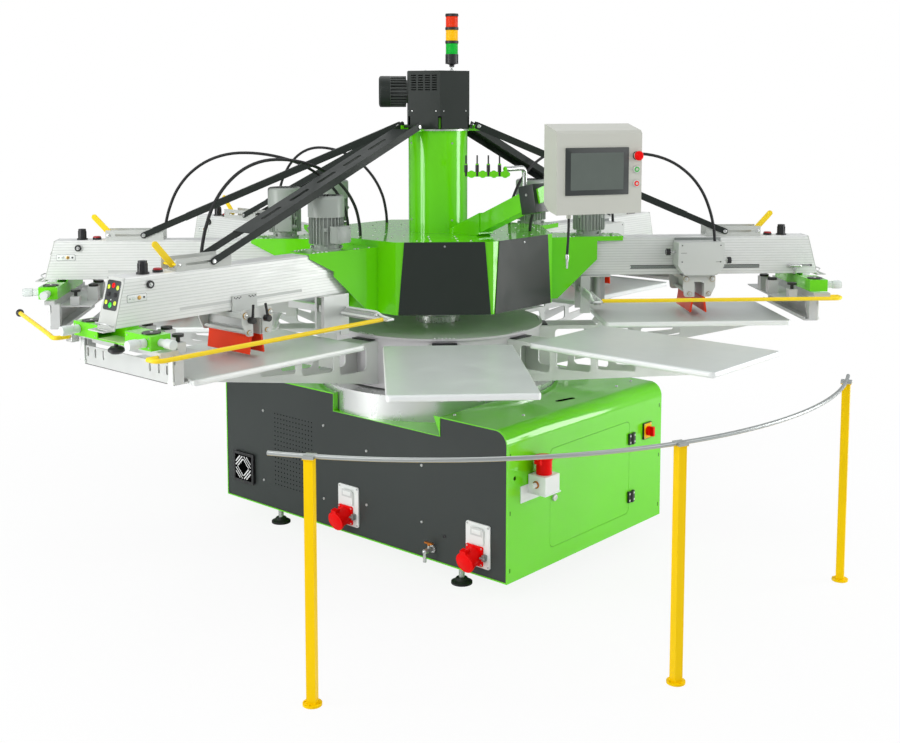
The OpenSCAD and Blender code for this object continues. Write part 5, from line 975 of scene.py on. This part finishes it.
def side_plates():
    """A light card on the side of each beam, with its rim, lamp, caps and screw."""
    def card_place(head):
        return head @ face_place((1740, BEAM_SIDE + 0.1, 1330), MINUS_X, PLUS_Z)
    for name, size, thick, bevel, material, slot in (
            ("side_plates", (84, 26, 4), 1.4, 0.4, "white_plastic", "white_plastic"),
            ("side_plate_rims", (87, 29, 5), 0.8, 0, "slot_grey", "bare_steel")):
        on_heads(name, lambda bm, head: add_prism(bm, rounded_outline(*size), thick, card_place(head), bevel),
                 material)
    for name, material, slot, x, r in (
            ("side_plate_dots", "black_plastic", "black_plastic", -30, 4),
            ("side_plate_rings", "brass_lever", "brass_lever", -9, 8),
            ("side_plate_caps", "pallet_face", "white_plastic", 15, 7),
            ("side_plate_screws", "screw_steel", "bare_steel", 33, 3.6)):
        profile = [(r, 0), (r, 1.6), (r * 0.8, 2.4), (r * 0.4, 2.4), (r * 0.35, 1.2), (0, 1.2)]
        on_heads(name, lambda bm, head: add_lathe(bm, profile, card_place(head) @ shift(-x, 0, 1.4), 20),
                 material)


def beam_slots():
    """Soft lips that close the carriage's slot on both sides of a beam, and the short slot with its rod."""
    for name, y0, y1, material, slot in (
            ("slot_lips_a", 52, 54.2, "beam_lip", "white_plastic"),
            ("slot_lips_b", -54.2, -52, "slot_grey", "bare_steel")):
        on_heads(name, lambda bm, head: [
            add_box(bm, (924.5, y0, z0), (1547.5, y1, z1), head)
            for z0, z1 in ((1257.2, 1262.9), (1263.1, 1268.8))], material)

    def frame_strips(bm, head):
        for r0, z0, r1, z1 in ((920, 1254.4, 1552, 1256.8), (920, 1269.2, 1552, 1271.6),
                               (1549, 1256.8, 1552, 1269.2)):
            add_box(bm, (r0, -BEAM_SIDE - 1, z0), (r1, -BEAM_SIDE, z1), head, 0.3)
        add_box(bm, (1690, -55.8, 1259), (1812, -BEAM_SIDE, 1269), head, 0.3)
    on_heads("slot_frames", frame_strips, "slate")

    def rods(bm, head):
        add_box(bm, (1690, -57, 1261.4), (1804, -55.2, 1266.6), head, 0.5)
        add_lathe(bm, [(0, -38), (8, -38), (8.6, -36), (8.6, 26), (6, 30), (0, 30)],
                  head @ facing(1726, -68, 1264, PLUS_X), 20)
        add_box(bm, (1718, -74, 1224), (1732, -62, 1262), head, 2)
    on_heads("slot_rods", rods, "screw_steel")


def tie_fittings():
    """Pins of the tie bars, and screws of the tie and head brackets."""
    def pins(bm, head):
        for s in (-1, 1):
            for r, z in ((1380, 1432), (190, 1938)):
                add_lathe(bm, [(9, 0), (9, 3), (7.4, 4.4), (0, 4.6)],
                          head @ facing(r, s * 56, z, (0, s, 0)), 20)
            add_lathe(bm, [(8, 0), (8, 2.4), (6.4, 3.4), (0, 3.6)],
                      head @ facing(1542, s * 50, 1432, (0, s, 0)), 20)
    on_heads("tie_pins", pins, "screw_steel")
    head_screws("tie_bracket_screws", [(r, y, 1412, PLUS_Z) for r in (1306, 1334, 1512, 1528)
                                       for y in (-34, 34)], 11)
    head_screws("bracket_screws", [
        (r, y, BRACKET_TOP, PLUS_Z) for r, half in (
            (560, 92), (620, 86), (640, 85), (790, 66), (812, 63), (834, 60), (856, 58))
        for y in (-half, half)], 11)


def motor_details():
    """Cowl grille painted as dark slots of shade, terminal box lid and bolts of each head motor."""
    # Near-black slots and centre disc on the cowl: painted shade seen through the grille.
    def grille(bm, head):
        place = head @ shift(MOTOR_R, 0, 1651)
        for k in range(20):
            add_box(bm, (28, -2.2, -0.4), (62, 2.2, 0.5), place @ turn(k * 18))
        add_lathe(bm, [(0, 0.9), (16, 0.9), (19, 0)], place)
    on_heads("cowl_grille_shade", grille, "hole_black")

    def box_lid(bm, head):
        place = head @ face_place((MOTOR_R, 107.8, 1487), MINUS_X, PLUS_Z)
        add_prism(bm, rounded_outline(76, 70, 6), 6, place, 1.5)
        for x in (-30, 30):
            for y in (-27, 27):
                add_screw(bm, place @ shift(x, y, 6), 8)
        add_lathe(bm, [(11, 0), (11, 14), (8, 15), (8, 20), (0, 20)],
                  head @ facing(MOTOR_R - 39, 86, 1470, MINUS_X), 20)
    on_heads("terminal_lids", box_lid, "motor_grey")

    def bolts(bm, head):
        for angle in (45, 135, 225, 315):
            foot = head @ shift(MOTOR_R, 0, 1422) @ turn(angle) @ shift(62, 0, 0)
            add_lathe(bm, [(9, 0), (9, 10), (7, 12), (0, 12)], foot, 6)
            lug = head @ shift(MOTOR_R, 0, 1500) @ turn(angle)
            add_box(bm, (74, -7, 0), (80, 7, 16), lug, 1.5)
            add_lathe(bm, [(3.2, 0), (3.2, 3), (0, 3)], lug @ facing(80, 0, 8, PLUS_X), 12)
    on_heads("motor_bolts", bolts, "motor_grey")


# Carriages

def bush_row(bm, head, radii, profile_of, steps):
    """Turned forms on the eight bushes of a carriage's cheeks, upper and lower ones by their radii."""
    for s in (-1, 1):
        for x, z, r in ((63, 1214, radii[0]), (46, 1144, radii[1])):
            for t in (-1, 1):
                place = head @ facing(CARRIAGE_R + t * x, s * CHEEK_Y, z, (0, s, 0))
                add_lathe(bm, profile_of(r), place, steps)


def bushes(bm, head):
    """Brass bushes on the outside of the cheeks."""
    bush_row(bm, head, (11.5, 8.6), lambda r: [
        (r + 1.6, 0), (r + 1.6, 4), (r + 0.4, 5.4), (r * 0.55, 5.4), (r * 0.55, 0)], 24)


def bush_rods(bm, head):
    """Bright rod ends in the bushes."""
    bush_row(bm, head, (6.2, 4.8), lambda r: [(r, 3), (r, 8.6), (r * 0.8, 9.4), (0, 9.4)], 18)


def adjuster_places(head, out):
    """Places on the cover's two adjusting knobs, so far out from the carriage's middle."""
    return [head @ facing(CARRIAGE_R + s * out, -118, z, (s, 0, 0)) for s, z in ADJUSTERS]


def adjust_grips(bm, head):
    """Lobes round the adjusting knobs."""
    for place in adjuster_places(head, 136):
        for k in range(8):
            add_lathe(bm, [(4.6, 0.5), (5, 2), (5, 20), (4, 21.6), (0, 21.6)],
                      place @ turn(k * 45) @ shift(11.2, 0, 0), 10)


def clamp_levers(bm, head):
    """Black levers on the carriage's clamps."""
    for x, angle in ((-40, 12), (40, -4)):
        middle = head @ shift(CARRIAGE_R + x, 0, 1193)
        add_lathe(bm, [(0, 140.9), (12.6, 140.9), (13.4, 142), (13.4, 166.6), (12, 168), (0, 168.4)],
                  middle @ lean(-90, "X"), 22)
        add_lathe(bm, [(0, 4), (6.4, 4), (5.2, 40), (5.6, 62.4), (4.4, 64), (0, 64.2)],
                  middle @ shift(0, 158, 0) @ lean(angle, "Y"), 14)


def cover_back(bm, head):
    """The plate that closes the cover's back."""
    add_box(bm, (CARRIAGE_R - 104, -63.6, 1262), (CARRIAGE_R + 121, -60.4, 1404), head, 0.8)


def adjust_cores(bm, head):
    """Middles of the adjusting knobs."""
    for place in adjuster_places(head, 136):
        add_lathe(bm, [(0, 0.3), (7, 0.3), (14.6, 3), (14.8, 20), (12.6, 22.4), (0, 22.6)], place)


def cheek_dots(bm, head):
    """Rows of small dark dots on the carriage's side."""
    for x in (-37.44, 37.44):
        for k in range(-2, 3):
            add_lathe(bm, [(2.6, 0), (2.6, 1.2), (0, 1.3)],
                      head @ facing(CARRIAGE_R + x + k * 8, 64, 1276 - 4 * (k % 2), PLUS_Y), 8)


def adjust_stems(bm, head):
    """Bright stems and nuts of the adjusting knobs."""
    for stem, nut in zip(adjuster_places(head, 108), adjuster_places(head, 110)):
        add_lathe(bm, [(4.3, 0), (4.3, 28)], stem, 16)
        add_lathe(bm, [(8, 0), (8, 4), (6, 5)], nut, 6)


def cover_marks(bm, head):
    """Dark marks and screws on the cover's face."""
    for s, z in ADJUSTERS:
        r = CARRIAGE_R + s * 84
        add_box(bm, (r - 14, COVER_Y - 0.5, z - 0.8), (r + 14, COVER_Y + 0.2, z + 0.8), head)
    for x in (-92, 92):
        for z in (1300, 1378):
            add_screw(bm, head @ facing(CARRIAGE_R + x, COVER_Y, z, MINUS_Y), 6)


def carriage_details():
    """Small fittings that travel with each carriage."""
    fittings = (
        ("bushes", bushes, "brass_lever", "brass_lever"),
        ("bush_rods", bush_rods, "screw_steel", "bare_steel"),
        ("adjust_grips", adjust_grips, "black_plastic", "black_plastic"),
        ("clamp_levers", clamp_levers, "black_plastic", "black_plastic"),
        ("cover_back", cover_back, "slot_grey", "bare_steel"),
        ("adjust_cores", adjust_cores, "black_plastic", "black_plastic"),
        ("cheek_dots", cheek_dots, "dark_screw", "black_plastic"),
        ("adjust_stems", adjust_stems, "screw_steel", "bare_steel"),
        ("cover_marks", cover_marks, "dark_screw", "black_plastic"))
    for i, angle in enumerate(HEADS):
        for name, build, material, slot in fittings:
            piece(f"{name}_{i + 1}", lambda bm: build(bm, turn(angle)), material, f"carriage_{i + 1}")


# Frame holders, clamps and guard bar

def wire_loops():
    """Light wires bent over the inner frame clamps of two heads."""
    route = [(693, 90, 1166), (693, 200, 1166), (692, 268, 1165), (691.5, 300, 1152), (691.5, 350, 1146),
             (694, 361, 1145), (700, 364, 1145), (718, 364, 1145), (724, 361, 1145), (726.5, 350, 1146),
             (726.5, 300, 1146), (726.5, 90, 1146)]
    piece("clamp_wires", lambda bm: [
        add_tube(bm, smooth_path([(r, side * y, z) for r, y, z in route], turn(angle), 3), 5.2, 10)
        for angle, side in ((45, -1), (270, 1))], "white_plastic")


def gate_bar():
    """The guard's round bar with its ball, held in a block under the front-left head."""
    z = 1150
    route = [(-300, -1800, z), (-301, -1840, z), (-306, -1862, z), (-330, -1866, z), (-420, -1832, z),
             (-922, -1661, z)]
    piece("gate_bar", lambda bm: add_tube(bm, smooth_path(route, AXIS, 5), 9, 20),
          "bar_yellow")
    turned("gate_ball", [(0, -17), (6.5, -15.7), (12, -12), (15.7, -6.5), (17, 0), (15.7, 6.5), (12, 12),
                         (6.5, 15.7), (0, 17)], shift(-930, -1658.3, z), 28, "black_plastic")
    boxes("gate_block", [((-320, -1812, z - 22), (-280, -1777, z + 22))],
          "screw_steel", bevel=2)


def frame_fittings():
    """Marks, strips, trays, posts, screws and knob bands of the frame holders."""
    on_heads("disc_marks", lambda bm, head: [
        add_lathe(bm, [(0, 1.2), (5, 1.2), (5.6, 0)], head @ shift(1777.5, y, 1224), 16)
        for y in (-194, 194)], "white_plastic")
    for name, low, high, bevel, material, slot in (
            ("clamp_strips", (1694, -298, 1036.8), (1757.6, 298, 1039.4), 0.6,
             "black_rubber", "black_rubber"),
            # The trays take a lightened copy of the holders' green: painted light.
            ("holder_trays", (1739, -90, 1169), (1816, 90, 1170.6), 0.4, "tray_green", "green_paint")):
        on_heads(name, lambda bm, head: add_box(bm, low, high, head, bevel), material)

    def posts(bm, head):
        for y0, y1 in ((-296, -272), (272, 296)):
            add_box(bm, (1757.6, y0, 1040), (1764, y1, 1146), head, 1.5)
            add_box(bm, (1757.6, y0 - 4, 1040), (1766, y1 + 4, 1052), head, 1)
    on_heads("clamp_posts", posts, "white_plastic")
    head_screws("holder_screws", [(HOLDER_FACE, s * y, z, PLUS_X) for s in (-1, 1) for y in (104, 236)
                                  for z in (1176, 1209)], 6)

    def bands(bm, head):
        for y in (-215, 215):
            place = head @ facing(HOLDER_FACE, y, 1192.5, PLUS_X)
            add_lathe(bm, [(14.3, 1), (16.4, 2), (16.4, 26), (14.3, 27)], place)
            add_lathe(bm, [(14.3, 34), (17.6, 35.4), (19.2, 40), (19.6, 66), (18.6, 72), (14, 75.2)],
                      place, 28)
    on_heads("knob_bands", bands, "knob_white")


# Hub, column and turntable

def hub_details():
    """Screws of the hub, its dark panels, the column and the shroud."""
    spots = [(300, -60), (300, 60), (380, -60), (380, 60), (470, -120), (470, -60), (470, 60), (470, 120)]
    screws("hub_screws", [turn(k * 45) @ shift(r, y, HUB_TOP) for k in range(8) for r, y in spots], 9)
    screws("hub_panel_screws", [turn(angle) @ facing(522, 0, 1424, PLUS_X) for angle in (0, -45)], 9)
    screws("column_screws", [turn(angle) @ facing(139.6, 0, z, PLUS_X)
                             for angle in (-20, 160, 70, 250) for z in (1500, 1860)], 10)

    def shroud_screws(bm):
        apothem = 165 * math.cos(math.radians(30))
        for k in range(6):
            side = turn(-15 + k * 60)
            for y in (-62, 62):
                add_screw(bm, side @ facing(apothem, y, 2010, PLUS_X), 6)
            add_screw(bm, side @ shift(apothem - 16, 0, SHROUD_TOP), 8)
    piece("shroud_screws", shroud_screws, "screw_steel")


def turntable_details():
    """Centre ring, bolts, tabs and arm screws that turn with the pallets."""
    body = "carousel"
    turned("centre_ring", [(103.8, 1009.4), (108, 1009.4), (108, 1038.6), (107, 1040), (103.8, 1040)],
           AXIS, 72, "screw_steel", body)
    piece("turntable_bolts", lambda bm: [
        add_screw(bm, turn(angle + n * 2) @ shift(487, 0, 1009), 10)
        for angle in PALLETS for n in (-2.5, -1.5, -0.5, 0.5, 1.5, 2.5)], "screw_steel", body)
    piece("arm_tabs", lambda bm: [
        add_box(bm, (478, -56, 985.2), (524, 56, 989.5), turn(angle), 0.8) for angle in PALLETS],
        "dark_screw", body)
    piece("arm_screws", lambda bm: [
        add_screw(bm, turn(angle) @ facing(x, s * 70, 1000, (0, s, 0)), 8)
        for angle in PALLETS for s in (-1, 1) for x in range(800, 1401, 120)],
        "screw_steel", body)


# Floor, light and background

def make_floor():
    """A pale floor far wider than the view."""
    bm = bmesh.new()
    reach = 90000
    add_prism(bm, [(-reach, -reach), (reach, -reach), (reach, reach), (-reach, reach)], 1, shift(0, 0, -1))
    mesh = bpy.data.meshes.new("floor")
    bm.to_mesh(mesh)
    bm.free()
    s = Surface("floor_pale", (0.8, 0.8, 0.8, 1))
    s.feed("Base Color", s.tint((0.86, 0.86, 0.86, 1), 0.4, 0.02))
    s.feed("Roughness", s.group("drift", Scale=2, Low=0.5, High=0.6))
    fade_floor(s)
    mesh.materials.append(s.material)
    floor = bpy.data.objects.new("floor", mesh)
    scene.collection.objects.link(floor)


def fade_floor(s):
    """Lets the floor run into the background's colour away from the press."""
    length = s.tree.nodes.new("ShaderNodeVectorMath")
    length.operation = "LENGTH"
    s.tree.links.new(s.vector, length.inputs[0])
    fade = add_spread(s.tree, length.outputs["Value"], From_Min=0.5, From_Max=4.0, To_Min=0.88)
    fade.interpolation_type = "SMOOTHSTEP"
    path = s.tree.nodes.new("ShaderNodeLightPath")
    glow = s.tree.nodes.new("ShaderNodeEmission")
    glow.inputs["Color"].default_value = BACKGROUND
    share = add_math(s.tree, "MULTIPLY", fade.outputs["Result"], path.outputs["Is Camera Ray"])
    blend = mix_shaders(s.tree, share, s.shader, glow)
    s.tree.links.new(blend, s.tree.nodes["Material Output"].inputs["Surface"])


def mix_shaders(tree, share, first, second):
    """Mixes two shader nodes by a share."""
    mix = tree.nodes.new("ShaderNodeMixShader")
    for socket, output in zip(mix.inputs, (share, first.outputs[0], second.outputs[0])):
        tree.links.new(output, socket)
    return mix.outputs[0]


# Area lamps: watts, place, the point they look at, and width and height, in metres
LAMPS = {
    "key": (150, (1.5, -6.0, 5.2), (0, 0, 1.0), (5.0, 3.0)),
    "left_box": (90, (-1.71, -4.70, 1.6), (0, 0, 1.5), (1.5, 2.6)),
    "right_box": (90, (3.94, 3.08, 1.6), (0, 0, 1.5), (1.5, 2.6)),
    "side": (70, (6.5, 0.5, 4.0), (0.3, 0, 0.8), (4.0, 3.5)),
    "top": (150, (-1.5, 1.5, 6.5), (0, 0, 1.0), (6.0, 6.0)),
}


def make_lights():
    for name, (watts, location, target, size) in LAMPS.items():
        data = bpy.data.lights.new(name, "AREA")
        data.energy = watts
        data.shape = "RECTANGLE"
        data.size, data.size_y = size
        light = bpy.data.objects.new(name, data)
        light.location = location
        light.rotation_euler = (Vector(target) - Vector(location)).to_track_quat("-Z", "Y").to_euler()
        light.visible_camera = False
        scene.collection.objects.link(light)


def make_world():
    """Soft studio light, with plain white where the camera looks past the press."""
    world = bpy.data.worlds.new("studio")
    scene.world = world
    world.use_nodes = True
    tree = world.node_tree
    tree.nodes.clear()
    soft = tree.nodes.new("ShaderNodeBackground")
    soft.inputs["Color"].default_value = (0.9, 0.92, 0.95, 1)
    soft.inputs["Strength"].default_value = 0.5
    seen = tree.nodes.new("ShaderNodeBackground")
    seen.inputs["Color"].default_value = BACKGROUND
    path = tree.nodes.new("ShaderNodeLightPath")
    out = tree.nodes.new("ShaderNodeOutputWorld")
    tree.links.new(mix_shaders(tree, path.outputs["Is Camera Ray"], soft, seen), out.inputs["Surface"])
    scene.view_settings.view_transform = "Standard"


make_camera()
make_hoses()
make_lead()
dress_nodes()
cabinet_front()
fan_details()
socket_details()
switch_details()
hinge_covers()
side_slits()
lock_and_stub()
foot_stems()
vent_hole_shade()
cabinet_top()
signal_tower()
shroud_fittings()
control_face()
arm_fittings()
keypads()
beam_fittings()
side_plates()
beam_slots()
tie_fittings()
motor_details()
carriage_details()
wire_loops()
gate_bar()
frame_fittings()
hub_details()
turntable_details()
make_floor()
make_lights()
make_world()
